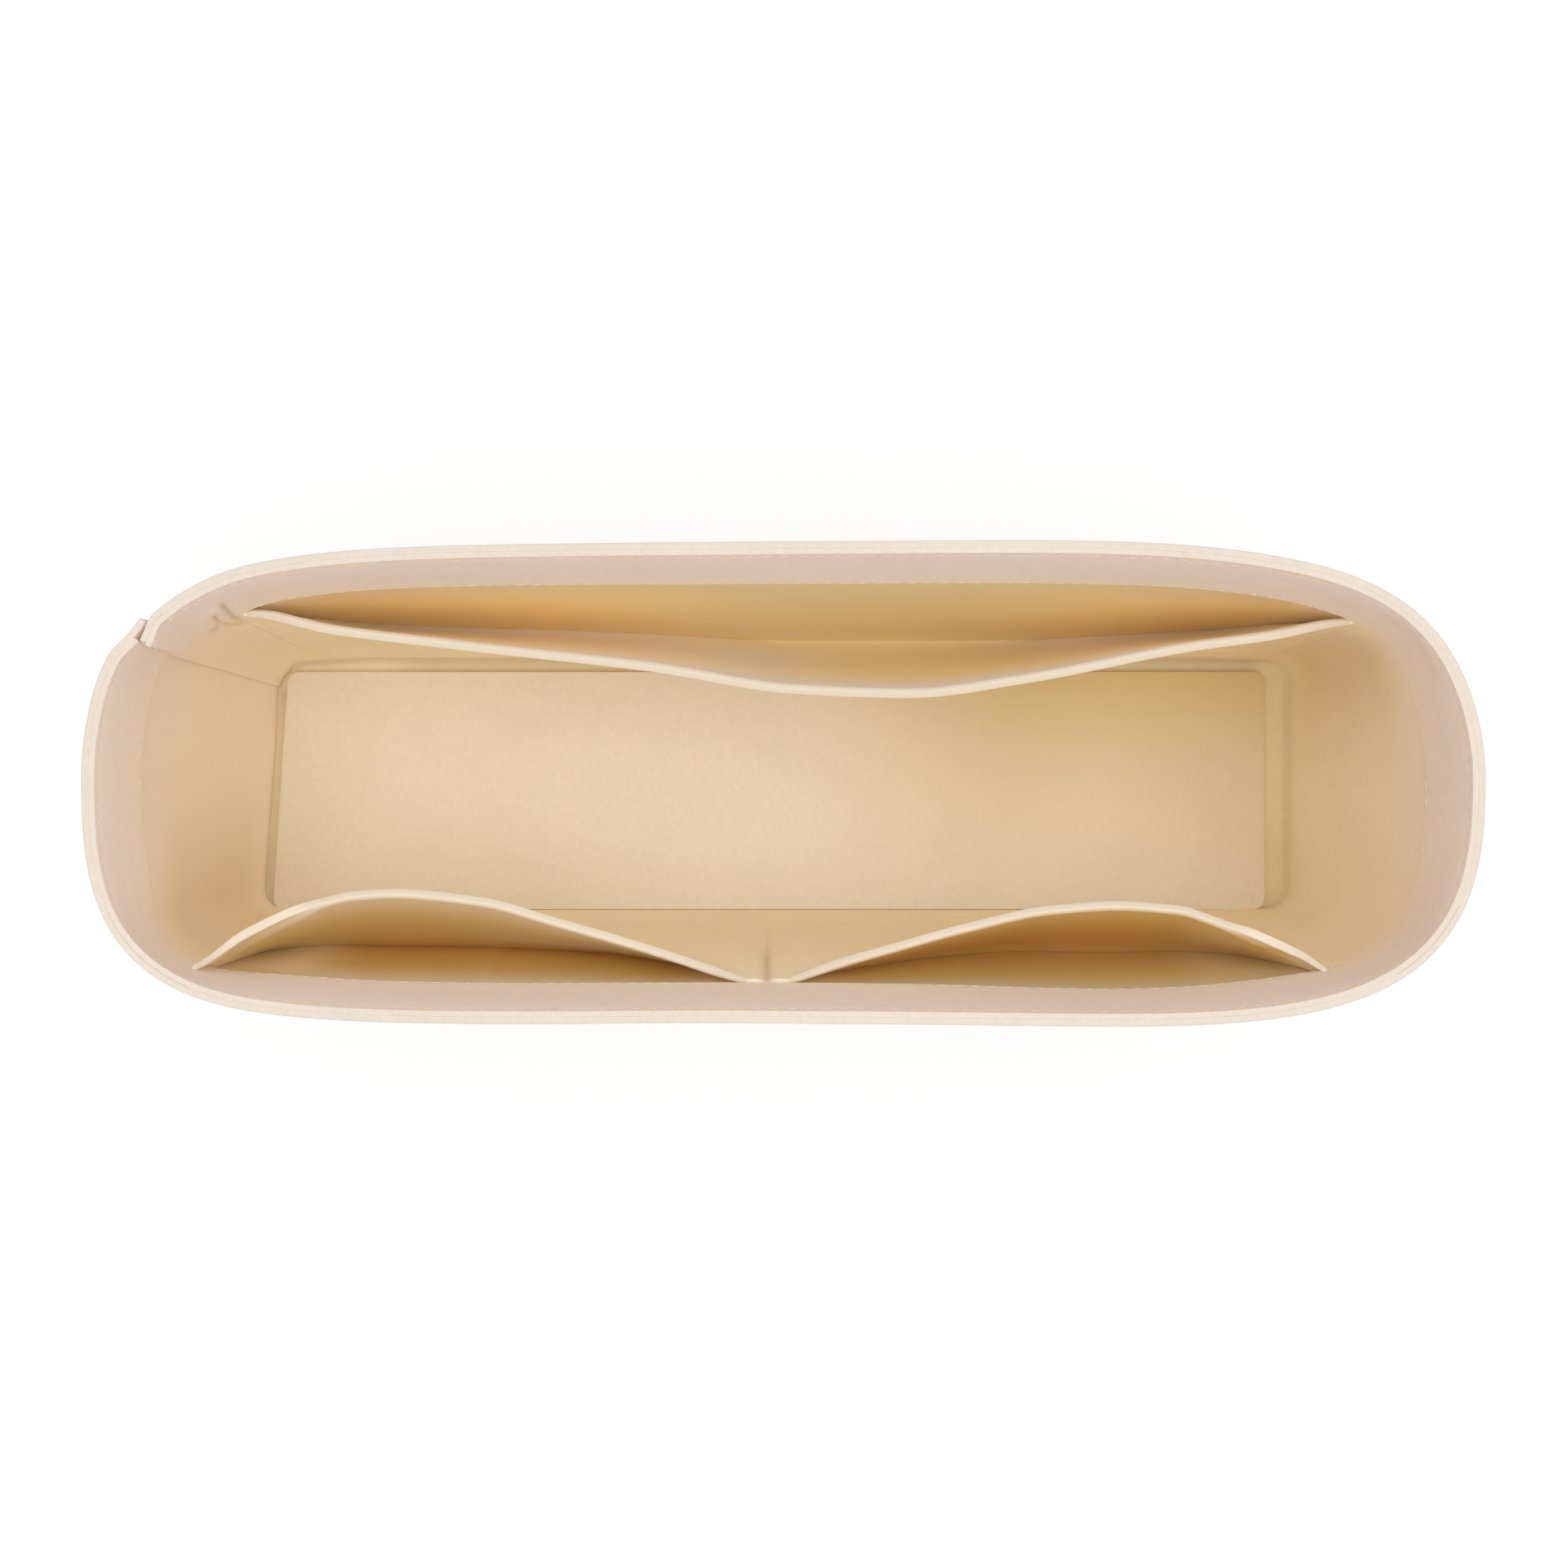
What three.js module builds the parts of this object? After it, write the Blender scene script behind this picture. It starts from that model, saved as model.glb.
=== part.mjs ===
// A felt insert that keeps a handbag tidy: an open tub whose wall is one strip of stiff felt,
// wrapped round and lapped at the rear left corner. It has a facing inside the rim, a wide
// pocket at the rear, a stitched pair of pockets at the front, a sewn floor and a loose board
// that lies on the floor.
//
// Millimetres, +X to the right, +Y to the rear, +Z up. The origin is under the middle of the
// rim, on the surface that the insert stands on.

import * as THREE from 'three';

// The tub's outside
const rimLength = 250;
const rimWidth = 86.5;
const height = 145;
const footLength = 246;
const footWidth = 62.4;
const footCornerRadius = 9;
const footShift = -0.8;

// How the rim's outline is rounded: a power of 2 is an ellipse, and a larger one is squarer
const rimEndPower = 6.2;
const rimRearPower = 2.15;
const rimFrontPower = 2.9;

// The wall leans out from foot to rim, and more of it near the rim
const flarePower = 1.25;

// Felt thicknesses, and the gap between layers that are sewn together
const wallFelt = 1.3;
const facingFelt = 1;
const pocketFelt = 1.3;
const floorFelt = 2;
const layerGap = 0.25;

// The lap where the wall strip's ends meet, and the run in which each end eases back in line
const lapFromLeftEnd = 32;
const lapLength = 3;
const lapEase = 22;

// The facing inside the rim: its last end is cut off level with the strip's, and its first end
// starts this gap beyond it
const facingHeight = 30;
const facingEndGap = 0.6;
const facingToPocket = 0.4;

// The pockets: distances run along the wall from the middle of its long side, right is positive
const pocketTab = 6;
const rearPocketSeamHeight = 36;
const rearPocketLeft = -104;
const rearPocketRight = 110;
const rearPocketDepth = 20.8;
const frontPocketSeamHeight = 45;
const frontMiddleSeam = -3;
const frontMiddleSeamRoom = 4;
const frontLeftPocketLeft = -108.5;
const frontLeftPocketDepth = 16.4;
const frontRightPocketRight = 101.5;
const frontRightPocketDepth = 14.3;

// How each pocket widens upwards: under 1 it is full low down, over 1 mostly near its mouth
const rearPocketPower = 0.9;
const frontLeftPocketPower = 1.1;
const frontRightPocketPower = 0.7;

// How far each pocket's mouth stands off the wall, from its left end to its right end
const rearBowShares = [
  [0, 0], [0.08, 0.33], [0.19, 0.53], [0.37, 0.77], [0.5, 0.95],
  [0.6, 1], [0.7, 0.87], [0.85, 0.54], [0.93, 0.33], [1, 0],
];
const frontLeftBowShares = [
  [0, 0], [0.1, 0.54], [0.2, 0.86], [0.34, 1], [0.5, 0.93], [0.64, 0.71], [0.82, 0.39], [1, 0],
];
const frontRightBowShares = [
  [0, 0], [0.2, 0.46], [0.38, 0.8], [0.52, 0.98], [0.62, 1], [0.76, 0.87], [0.88, 0.55], [1, 0],
];

// How far up its panel each pocket leaves the wall, from its left end to its right end
const rearPeelShares = [
  [0, 0.8], [0.08, 0.36], [0.26, 0.22], [0.38, 0.14], [0.5, 0.02], [0.7, 0.01], [0.9, 0.14], [1, 0.7],
];
const frontLeftPeelShares = [
  [0, 0.7], [0.05, 0.46], [0.2, 0.36], [0.4, 0.34], [0.7, 0.44], [0.87, 0.65], [1, 0.85],
];
const frontRightPeelShares = [
  [0, 0.9], [0.14, 0.7], [0.3, 0.5], [0.5, 0.02], [0.76, 0.06], [0.9, 0.36], [1, 0.85],
];

// The loose board: its layers, its corners and the room round it on the floor
const boardFelt = 1;
const boardCore = 1.5;
const boardBondGap = 0.1;
const boardCornerRadius = 6;
const boardLeftRoom = 1.9;
const boardRightRoom = 5.8;
const boardFrontRoom = 1.3;
const boardRearRoom = 3.1;
const boardCoreInset = 0.8;

// How finely the curves are divided
const outlineTableSteps = 900;
const normalStepShare = 0.004;
const wallLevels = 7;
const facingLevels = 3;
const pocketLevels = 12;
const pocketSteps = 56;
const boardCornerSteps = 8;
const nearestPlacesShare = 0.008;
const quarterZoneShares = [[0.14, 3], [0.25, 8], [0.46, 7], [1, 8]];

// Two tones of the same beige felt, and the board's stiff sheet
const feltColour = 0xe2c6a6;
const facingColour = 0xe6cdb4;
const boardFeltColour = 0xe6cda8;
const coreColour = 0xd9d4c8;

const quarterTurn = Math.PI / 2;
const quarters = 4;
const rearMiddle = 1;
const leftEnd = rearMiddle + 1;
const frontMiddle = leftEnd + 1;

// Outlines. A quarter runs from the end of the tub, share 0, to the middle of a long side,
// share 1, in steps of equal length.

function evenlyRun(curve) {
  const points = [];
  const lengths = [0];
  for (let step = 0; step <= outlineTableSteps; step += 1) {
    points.push(curve(step / outlineTableSteps));
    if (step > 0) {
      const [x, y] = points[step];
      const [beforeX, beforeY] = points[step - 1];
      lengths.push(lengths[step - 1] + Math.hypot(x - beforeX, y - beforeY));
    }
  }
  const total = lengths[outlineTableSteps];
  const pointAt = (share) => {
    const wanted = share * total;
    let high = outlineTableSteps;
    let low = 0;
    while (high - low > 1) {
      const middle = Math.floor((high + low) / 2);
      if (lengths[middle] > wanted) high = middle;
      else low = middle;
    }
    const part = (wanted - lengths[low]) / (lengths[high] - lengths[low]);
    return points[low].map((value, axis) => value + part * (points[high][axis] - value));
  };
  return { pointAt, total };
}

function rimQuarter(sidePower) {
  return (share) => {
    const turn = quarterTurn * (1 - (1 - share) ** (rimEndPower / 2));
    const x = (rimLength / 2) * Math.max(Math.cos(turn), 0) ** (2 / rimEndPower);
    const y = (rimWidth / 2) * Math.sin(turn) ** (2 / sidePower);
    return [x, y];
  };
}

function footQuarter(share) {
  const endStraight = footWidth / 2 - footCornerRadius;
  const arc = quarterTurn * footCornerRadius;
  const sideStraight = footLength / 2 - footCornerRadius;
  const run = share * (endStraight + arc + sideStraight);
  if (run < endStraight) return [footLength / 2, run];
  if (run > endStraight + arc) return [sideStraight - (run - endStraight - arc), footWidth / 2];
  const turn = (run - endStraight) / footCornerRadius;
  const x = sideStraight + footCornerRadius * Math.cos(turn);
  const y = endStraight + footCornerRadius * Math.sin(turn);
  return [x, y];
}

const rearRim = evenlyRun(rimQuarter(rimRearPower));
const frontRim = evenlyRun(rimQuarter(rimFrontPower));
const foot = evenlyRun(footQuarter);
const quarterLength = rearRim.total;

// The wall's nominal outer face. The place along it is counted in quarters, anticlockwise
// from the right end: the rear middle is 1, the left end 2 and the front middle 3.

function wallPoint(place, z) {
  const around = ((place % quarters) + quarters) % quarters;
  const quarter = Math.min(Math.floor(around), quarters - 1);
  const part = around - quarter;
  const share = quarter % 2 === 0 ? part : 1 - part;
  const sideX = quarter === 0 || quarter === frontMiddle ? 1 : -1;
  const sideY = quarter < leftEnd ? 1 : -1;
  const [rimX, rimY] = (sideY > 0 ? rearRim : frontRim).pointAt(share);
  const [footX, footY] = foot.pointAt(share);
  const lean = (z / height) ** flarePower;
  const x = (1 - lean) * (sideX * footX + footShift) + lean * sideX * rimX;
  const y = sideY * ((1 - lean) * footY + lean * rimY);
  return new THREE.Vector2(x, y);
}

function outwardNormal(place, z) {
  const along = wallPoint(place + normalStepShare, z).sub(wallPoint(place - normalStepShare, z));
  return new THREE.Vector2(along.y, -along.x).normalize();
}

function insetPoint(place, z, inset) {
  const point = wallPoint(place, z).addScaledVector(outwardNormal(place, z), -inset);
  return new THREE.Vector3(point.x, point.y, z);
}

// The lap

const lapStart = leftEnd - lapFromLeftEnd / quarterLength;
const lapShare = lapLength / quarterLength;
const lapEnd = lapStart + lapShare;
const lapShift = (wallFelt + layerGap) / 2;

function smooth(share) {
  const held = THREE.MathUtils.clamp(share, 0, 1);
  return held * held * (3 - 2 * held);
}

// 1 over the lap, then easing to 0
function lapHold(distance) {
  return 1 - smooth((distance - lapLength) / lapEase);
}

// How far the strip stands in from its nominal face: its first end lies outside its last end
function stripInset(place) {
  const fromStart = (place - lapStart) * quarterLength;
  const toEnd = (lapEnd + quarters - place) * quarterLength;
  return lapShift * (lapHold(toEnd) - lapHold(fromStart));
}

// The face that pieces inside the wall lie against
function innerFaceInset(place) {
  const around = ((place - lapEnd + quarters / 2) % quarters + quarters) % quarters - quarters / 2;
  const pastEnd = around * quarterLength;
  const hold = lapHold(pastEnd > 0 ? pastEnd + lapLength : -pastEnd);
  return wallFelt + lapShift * hold;
}

// Places along the wall, closer together round the corners

function quarterShares() {
  const shares = [0];
  for (const [end, steps] of quarterZoneShares) {
    const start = shares[shares.length - 1];
    for (let step = 1; step <= steps; step += 1) shares.push(start + ((end - start) * step) / steps);
  }
  return shares;
}

function placesBetween(first, last) {
  const shares = quarterShares();
  const places = [first];
  for (let quarter = Math.floor(first); quarter <= Math.ceil(last); quarter += 1) {
    const mirrored = ((quarter % 2) + 2) % 2 === 1;
    const inOrder = mirrored ? shares.map((share) => 1 - share).reverse() : shares;
    for (const share of inOrder) {
      const place = quarter + share;
      const fromLast = place - places[places.length - 1];
      if (Math.min(fromLast, last - place) > nearestPlacesShare) places.push(place);
    }
  }
  places.push(last);
  return places;
}

function evenlyBetween(first, last, steps) {
  return Array.from({ length: steps + 1 }, (_, step) => first + ((last - first) * step) / steps);
}

// A layer of felt: two faces, one in front of the other, closed round all four edges.
// outside and inside give a face's point at a place and a level.
function feltLayer(places, levels, outside, inside) {
  const positions = [];
  for (const face of [outside, inside]) {
    for (const place of places) {
      for (const level of levels) positions.push(...face(place, level).toArray());
    }
  }
  const rows = levels.length;
  const columns = places.length;
  const out = (column, row) => column * rows + row;
  const into = (column, row) => columns * rows + out(column, row);
  const indices = [];
  const quad = (a, b, c, d) => indices.push(a, b, c, a, c, d);
  for (let i = 0; i < columns - 1; i += 1) {
    for (let j = 0; j < rows - 1; j += 1) {
      quad(out(i, j), out(i + 1, j), out(i + 1, j + 1), out(i, j + 1));
      quad(into(i, j), into(i, j + 1), into(i + 1, j + 1), into(i + 1, j));
    }
    quad(out(i, 0), into(i, 0), into(i + 1, 0), out(i + 1, 0));
    quad(out(i, rows - 1), out(i + 1, rows - 1), into(i + 1, rows - 1), into(i, rows - 1));
  }
  for (let j = 0; j < rows - 1; j += 1) {
    quad(out(0, j), out(0, j + 1), into(0, j + 1), into(0, j));
    quad(out(columns - 1, j), into(columns - 1, j), into(columns - 1, j + 1), out(columns - 1, j + 1));
  }
  const geometry = new THREE.BufferGeometry();
  geometry.setAttribute('position', new THREE.Float32BufferAttribute(positions, 3));
  geometry.setIndex(indices);
  geometry.computeVertexNormals();
  return geometry;
}

function wallStrip() {
  const places = placesBetween(lapStart, lapEnd + quarters);
  const levels = evenlyBetween(0, height, wallLevels);
  const outside = (place, z) => insetPoint(place, z, stripInset(place));
  const inside = (place, z) => insetPoint(place, z, stripInset(place) + wallFelt);
  return feltLayer(places, levels, outside, inside);
}

function rimFacing() {
  const first = lapEnd + facingEndGap / quarterLength;
  const last = lapEnd + quarters;
  const levels = evenlyBetween(height - facingHeight, height, facingLevels);
  const lie = (place) => stripInset(place) + wallFelt + layerGap;
  const outside = (place, z) => insetPoint(place, z, lie(place));
  const inside = (place, z) => insetPoint(place, z, lie(place) + facingFelt);
  return feltLayer(placesBetween(first, last), levels, outside, inside);
}

// A curve through a table of shares, with no overshoot where the table rises or falls steadily
function throughShares(table, share) {
  if (share <= 0 || share >= 1) return 0;
  const last = table.length - 1;
  const slopeOf = (k) => (table[k + 1][1] - table[k][1]) / (table[k + 1][0] - table[k][0]);
  const slopeAt = (k) => {
    if (k === 0) return slopeOf(0);
    if (k === last) return slopeOf(last - 1);
    const before = slopeOf(k - 1);
    const after = slopeOf(k);
    return before * after <= 0 ? 0 : (2 * before * after) / (before + after);
  };
  const k = table.findIndex(([at], index) => index < last && share < table[index + 1][0]);
  const width = table[k + 1][0] - table[k][0];
  const part = (share - table[k][0]) / width;
  const rise = table[k + 1][1] - table[k][1];
  const bend = part * (1 - part) * width;
  const lean = (1 - part) * (slopeAt(k) - rise / width) - part * (slopeAt(k + 1) - rise / width);
  return table[k][1] + rise * part + bend * lean;
}

// A pocket panel lies on the wall, and its mouths bow out from it towards the top
function pocketPanel(first, last, seamHeight, mouths) {
  const top = height - facingHeight - facingToPocket;
  const bow = (place, z) => {
    for (const mouth of mouths) {
      const along = (place - mouth.first) / (mouth.last - mouth.first);
      const share = throughShares(mouth.bowShares, along);
      if (share > 0) {
        const peel = throughShares(mouth.peelShares, along);
        const up = (z - seamHeight) / (top - seamHeight);
        return mouth.depth * share * Math.max((up - peel) / (1 - peel), 0) ** mouth.power;
      }
    }
    return 0;
  };
  const lie = (place, z) => innerFaceInset(place) + layerGap + bow(place, z);
  const places = evenlyBetween(first, last, pocketSteps);
  const outside = (place, z) => insetPoint(place, z, lie(place, z));
  const inside = (place, z) => insetPoint(place, z, lie(place, z) + pocketFelt);
  return feltLayer(places, evenlyBetween(seamHeight, top, pocketLevels), outside, inside);
}

const atRear = (distance) => rearMiddle - distance / quarterLength;
const atFront = (distance) => frontMiddle + distance / quarterLength;

function rearPocketPanel() {
  const mouth = {
    first: atRear(rearPocketLeft),
    last: atRear(rearPocketRight),
    depth: rearPocketDepth,
    power: rearPocketPower,
    bowShares: rearBowShares,
    peelShares: rearPeelShares,
  };
  const first = atRear(rearPocketRight + pocketTab);
  const last = atRear(rearPocketLeft - pocketTab);
  return pocketPanel(first, last, rearPocketSeamHeight, [mouth]);
}

function frontPocketPanel() {
  const left = {
    first: atFront(frontLeftPocketLeft),
    last: atFront(frontMiddleSeam - frontMiddleSeamRoom),
    depth: frontLeftPocketDepth,
    power: frontLeftPocketPower,
    bowShares: frontLeftBowShares,
    peelShares: frontLeftPeelShares,
  };
  const right = {
    first: atFront(frontMiddleSeam + frontMiddleSeamRoom),
    last: atFront(frontRightPocketRight),
    depth: frontRightPocketDepth,
    power: frontRightPocketPower,
    bowShares: frontRightBowShares,
    peelShares: frontRightPeelShares,
  };
  const first = atFront(frontLeftPocketLeft - pocketTab);
  const last = atFront(frontRightPocketRight + pocketTab);
  return pocketPanel(first, last, frontPocketSeamHeight, [left, right]);
}

// The floor fills the foot of the wall, and its underside is level with the wall's lower edge
function floorPanel() {
  const outline = placesBetween(0, quarters).slice(1).map((place) => {
    const { x, y } = insetPoint(place, 0, innerFaceInset(place) + layerGap);
    return new THREE.Vector2(x, y);
  });
  return new THREE.ExtrudeGeometry(new THREE.Shape(outline), { depth: floorFelt, bevelEnabled: false });
}

// The loose board: two felts with a stiff sheet between them

const boardLeft = footShift - footLength / 2 + wallFelt + boardLeftRoom;
const boardRight = footShift + footLength / 2 - wallFelt - boardRightRoom;
const boardFront = -footWidth / 2 + wallFelt + boardFrontRoom;
const boardRear = footWidth / 2 - wallFelt - boardRearRoom;

function boardSheet(thickness, inset) {
  const radius = boardCornerRadius - inset;
  const left = boardLeft + inset;
  const right = boardRight - inset;
  const front = boardFront + inset;
  const rear = boardRear - inset;
  const shape = new THREE.Shape();
  shape.moveTo(left + radius, front);
  shape.lineTo(right - radius, front);
  shape.absarc(right - radius, front + radius, radius, -quarterTurn, 0);
  shape.lineTo(right, rear - radius);
  shape.absarc(right - radius, rear - radius, radius, 0, quarterTurn);
  shape.lineTo(left + radius, rear);
  shape.absarc(left + radius, rear - radius, radius, quarterTurn, 2 * quarterTurn);
  shape.lineTo(left, front + radius);
  shape.absarc(left + radius, front + radius, radius, 2 * quarterTurn, 3 * quarterTurn);
  return new THREE.ExtrudeGeometry(shape, {
    depth: thickness,
    bevelEnabled: false,
    curveSegments: boardCornerSteps,
  });
}

// Assembly

const insert = new THREE.Group();

function addPiece(name, geometry, colour, z = 0) {
  const material = new THREE.MeshStandardMaterial({ color: colour, roughness: 0.95, metalness: 0 });
  const piece = new THREE.Mesh(geometry, material);
  piece.name = name;
  piece.position.z = z;
  insert.add(piece);
}

const boardBottomZ = floorFelt + layerGap;
const boardCoreZ = boardBottomZ + boardFelt + boardBondGap;
const boardTopZ = boardCoreZ + boardCore + boardBondGap;

addPiece('wall_strip', wallStrip(), feltColour);
addPiece('rim_facing', rimFacing(), facingColour);
addPiece('rear_pocket_panel', rearPocketPanel(), feltColour);
addPiece('front_pocket_panel', frontPocketPanel(), feltColour);
addPiece('floor_panel', floorPanel(), feltColour);
addPiece('base_board_bottom_felt', boardSheet(boardFelt, 0), boardFeltColour, boardBottomZ);
addPiece('base_board_core', boardSheet(boardCore, boardCoreInset), coreColour, boardCoreZ);
addPiece('base_board_top_felt', boardSheet(boardFelt, 0), boardFeltColour, boardTopZ);

export default insert;
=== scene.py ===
import math
from functools import partial

import bpy
import numpy as np
from bpy.props import FloatProperty, FloatVectorProperty, PointerProperty
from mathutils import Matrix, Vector


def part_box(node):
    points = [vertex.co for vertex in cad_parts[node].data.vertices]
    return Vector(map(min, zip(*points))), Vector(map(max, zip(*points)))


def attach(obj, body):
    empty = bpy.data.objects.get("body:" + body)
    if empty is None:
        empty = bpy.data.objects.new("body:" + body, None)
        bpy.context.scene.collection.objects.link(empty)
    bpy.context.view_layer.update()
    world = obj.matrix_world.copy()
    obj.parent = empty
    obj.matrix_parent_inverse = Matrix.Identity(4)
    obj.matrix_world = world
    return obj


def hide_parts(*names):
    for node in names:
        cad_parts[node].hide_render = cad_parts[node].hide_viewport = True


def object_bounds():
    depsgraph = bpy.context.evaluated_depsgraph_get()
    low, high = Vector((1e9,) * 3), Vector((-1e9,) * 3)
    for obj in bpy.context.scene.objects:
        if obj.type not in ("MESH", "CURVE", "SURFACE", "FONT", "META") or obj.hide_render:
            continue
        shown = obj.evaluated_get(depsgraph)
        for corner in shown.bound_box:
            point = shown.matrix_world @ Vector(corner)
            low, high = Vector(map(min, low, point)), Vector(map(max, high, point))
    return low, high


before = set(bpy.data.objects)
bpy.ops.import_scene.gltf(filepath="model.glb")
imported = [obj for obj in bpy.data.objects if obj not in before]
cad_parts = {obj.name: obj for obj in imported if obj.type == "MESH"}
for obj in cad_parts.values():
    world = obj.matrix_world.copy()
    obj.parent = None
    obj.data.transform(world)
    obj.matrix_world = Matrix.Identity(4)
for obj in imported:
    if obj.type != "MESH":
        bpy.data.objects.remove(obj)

# A felt insert that keeps a handbag tidy, seen from above: a flared tub of stiff felt with a
# facing inside its rim, a wide pocket at the rear, two at the front and a loose base board.
# Metres, +X to the right, +Y to the rear, +Z up, in the frame of the packed part.

bl_info = {
    "name": "Handbag Insert",
    "version": (1, 0, 0),
    "blender": (4, 5, 0),
    "location": "View3D > Sidebar > Insert",
    "description": "Builds a felt handbag insert with pockets, stitching and a loose base board",
    "category": "Add Mesh",
}

PACKED_LOW, PACKED_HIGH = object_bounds()
PACKED_SIZE = PACKED_HIGH - PACKED_LOW

MM = 0.001
QUARTERS = 4
REAR_MIDDLE = 1
LEFT_END = 2
FRONT_MIDDLE = 3
POCKETS = {"rear": ("rear",), "front": ("left", "right")}
OUTLINE_STEPS = 900
NORMAL_STEP_SHARE = 0.004

# How far each pocket's mouth stands off the wall, from its left end to its right end
REAR_BOW_SHARES = (
    (0, 0), (0.08, 0.33), (0.19, 0.525), (0.37, 0.752), (0.5, 0.962),
    (0.6, 1), (0.7, 0.87), (0.85, 0.535), (0.93, 0.33), (1, 0),
)
FRONT_LEFT_BOW_SHARES = (
    (0, 0), (0.02, 0.147), (0.04, 0.3), (0.06, 0.418), (0.09, 0.53), (0.12, 0.625), (0.16, 0.735),
    (0.2, 0.855), (0.27, 0.963), (0.35, 1), (0.5, 0.925), (0.64, 0.697), (0.82, 0.372), (1, 0),
)
FRONT_RIGHT_BOW_SHARES = (
    (0, 0), (0.09, 0.217), (0.2, 0.428), (0.34, 0.695), (0.5, 0.94), (0.62, 1), (0.74, 0.925),
    (0.8, 0.785), (0.85, 0.62), (0.91, 0.41), (0.94, 0.3), (0.97, 0.18), (1, 0),
)

# How far up its panel each pocket leaves the wall, from its left end to its right end
REAR_PEEL_SHARES = (
    (0, 0.8), (0.08, 0.44), (0.16, 0.31), (0.26, 0.25), (0.38, 0.15), (0.5, 0.03),
    (0.7, 0.03), (0.8, 0.13), (0.9, 0.3), (1, 0.8),
)
FRONT_LEFT_PEEL_SHARES = (
    (0, 0.7), (0.05, 0.46), (0.2, 0.36), (0.4, 0.34), (0.7, 0.44), (0.87, 0.65), (1, 0.85),
)
FRONT_RIGHT_PEEL_SHARES = (
    (0, 0.9), (0.14, 0.7), (0.3, 0.5), (0.5, 0.36), (0.76, 0.38), (0.9, 0.5), (1, 0.85),
)

# From where to where along its mouth the painted light and shade on each panel's back turns
BACK_TURNS = {"rear": (0.44, 0.6), "left": (0.3, 0.75), "right": (0.1, 0.4)}

# How the painted light and shade in a pocket turn. By the share of the way down to its fold: to the
# colour halfway, and on to the fold's on the wall and on the panel's back. By how far open the pocket
# is there: to the colour of its ends, which comes up with the way down, and sooner where it is nearly
# shut. OPEN_TURN is where the painted shading comes up at all
DEEP_TURN = (0, 0.5)
FOLD_TURNS = {"wall": (0.5, 1), "back": (0.8, 1)}
NARROW_TURN = (1, 0.6)
NARROW_DOWN_TURN = (0, 1 / 3)
SHUT_TURN = (0.4, 0.2)
OPEN_TURN = (0, 1 / 3)

# Where the wall stands out below the rim or is drawn in: place, reach in quarters, millimetres
CORNER_BULGES = ((2.25, 0.085, 2.6), (2.12, 0.07, -1), (3.43, 0.2, 1.1), (3.74, 0.09, 1.4))

# The powers by which the bulges lie high on the wall, the rim's drift fades out downwards and the
# slant of the strip's inner end comes up there
BULGE_POWER = 1.8
DRIFT_POWER = 3
SLANT_POWER = 0.6

# Two creases beside the rear pocket's left end: run from the rear middle and height of each end,
# how wide they reach and over what share of their length they fade at each end
CREASES = ((-104.8, 134.5, -108.4, 99), (-108.1, 128, -111.3, 104))
CREASE_REACH = 0.8
CREASE_END_SHARE = 1 / 6

# How far the felt puckers up round the creases, how wide that reaches and how it fades
PUCKER = 0.6
PUCKER_REACH = 6 * CREASE_REACH
PUCKER_END_SHARE = 1 / 3

# Where the wall's corners lie in soft shade: place, reach in quarters, share, and by which shares
# of the way up to the facing it comes up and goes
CORNER_SHADES = ((0.2, 0.12, 0.85), (2.17, 0.13, 0.6))
CORNER_SHADE_COMES = (0, 1 / 3)
CORNER_SHADE_GOES = (1, 0.75)

# How far round from the left end the facing and the wall are painted paler, painted light where
# more light falls on the left end, in quarters, and how much of that painted light the wall shows
FACING_LEFT_REACH = 0.17
WALL_LEFT_REACH = 0.25
WALL_LEFT_SHARE = 0.9

# The shade below the rear mouth's right half: where along the mouth it comes up and where it
# goes, and how much of it shows
REAR_SHADE_TURNS = ((0.5, 0.75), (0.9, 1))
REAR_SHADE_SHARE = 0.85

# How much painted shade shows in a crease and in the front's middle seam, how much of the facing's
# tone shows on a panel's end that lies over the facing, and how far above the lower edge the
# seam's painted shade comes up
CREASE_SHARE = 0.75
SEAM_SHARE = 0.6
OVER_FACING_SHARE = 0.9
SEAM_TONE_TURN = (20 * MM, 50 * MM)

# Over what height a tone ends beside a seam or an edge
TONE_END = 2 * MM

# Painted shade of small soft puckers under the rim at the rear right corner, which the facing's
# shape does not have: place, height and reach in millimetres, share
PAINTED_PUCKER_SHADES = (
    (0.235, 136, 2.2, 0.16), (0.213, 140, 1.8, 0.14), (0.185, 137, 2.4, 0.16), (0.15, 136, 2, 0.12),
    (0.295, 130, 3, 0.1),
)

# How far the soft rim drifts from its even outline, outwards in millimetres, at each tenth of
# a quarter from the right end
RIM_DRIFTS = (
    0, -0.4, 0.1, -0.2, -0.5, -0.1, 0.15, 0.2, 0.15, 0,
    0, -0.2, -0.3, -0.5, -0.6, -0.7, -0.55, 0.1, 0.35, 0.15,
    0.05, -0.25, 0.1, 0.55, -0.1, -0.35, -0.45, -0.45, -0.6, -0.7,
    -0.6, -0.5, -0.35, -0.15, 0.1, 0.3, 0.2, -0.1, -1, -0.65,
)

# The sewn floor: half the length of its middle line, and where its points lie from that line out
# to its edge
FLOOR_LINE = 80 * MM
FLOOR_SHARES = (0, *np.linspace(0.35, 0.85, 7) ** 0.5, *(1 - np.linspace(0.07, 0, 12) ** 1.3))

# Painted light: where the floor is painted paler in the trench beside the board, against the trench's
# shade, at the left, in front and behind, and where that ends at the right: from where to where it
# turns, in millimetres
TRENCH_LEFT = (-80, -100)
TRENCH_FRONT = (-26, -28)
TRENCH_REAR = (24, 27)
TRENCH_RIGHT = (106, 112)
TRENCH_REAR_SHARE = 0.3

# The board's felts: points along them, from their middle to a corner and round a corner
BOARD_COLUMNS = 161
BOARD_ROWS = 14
BOARD_CORNER_STEPS = 9

# The waves in the board's upper felt, in radians per metre along, across and slanting, and the
# share of its swell that they change
BOARD_WAVES = (55, 70, 21)
BOARD_WAVE_SHARE = 0.4

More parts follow.
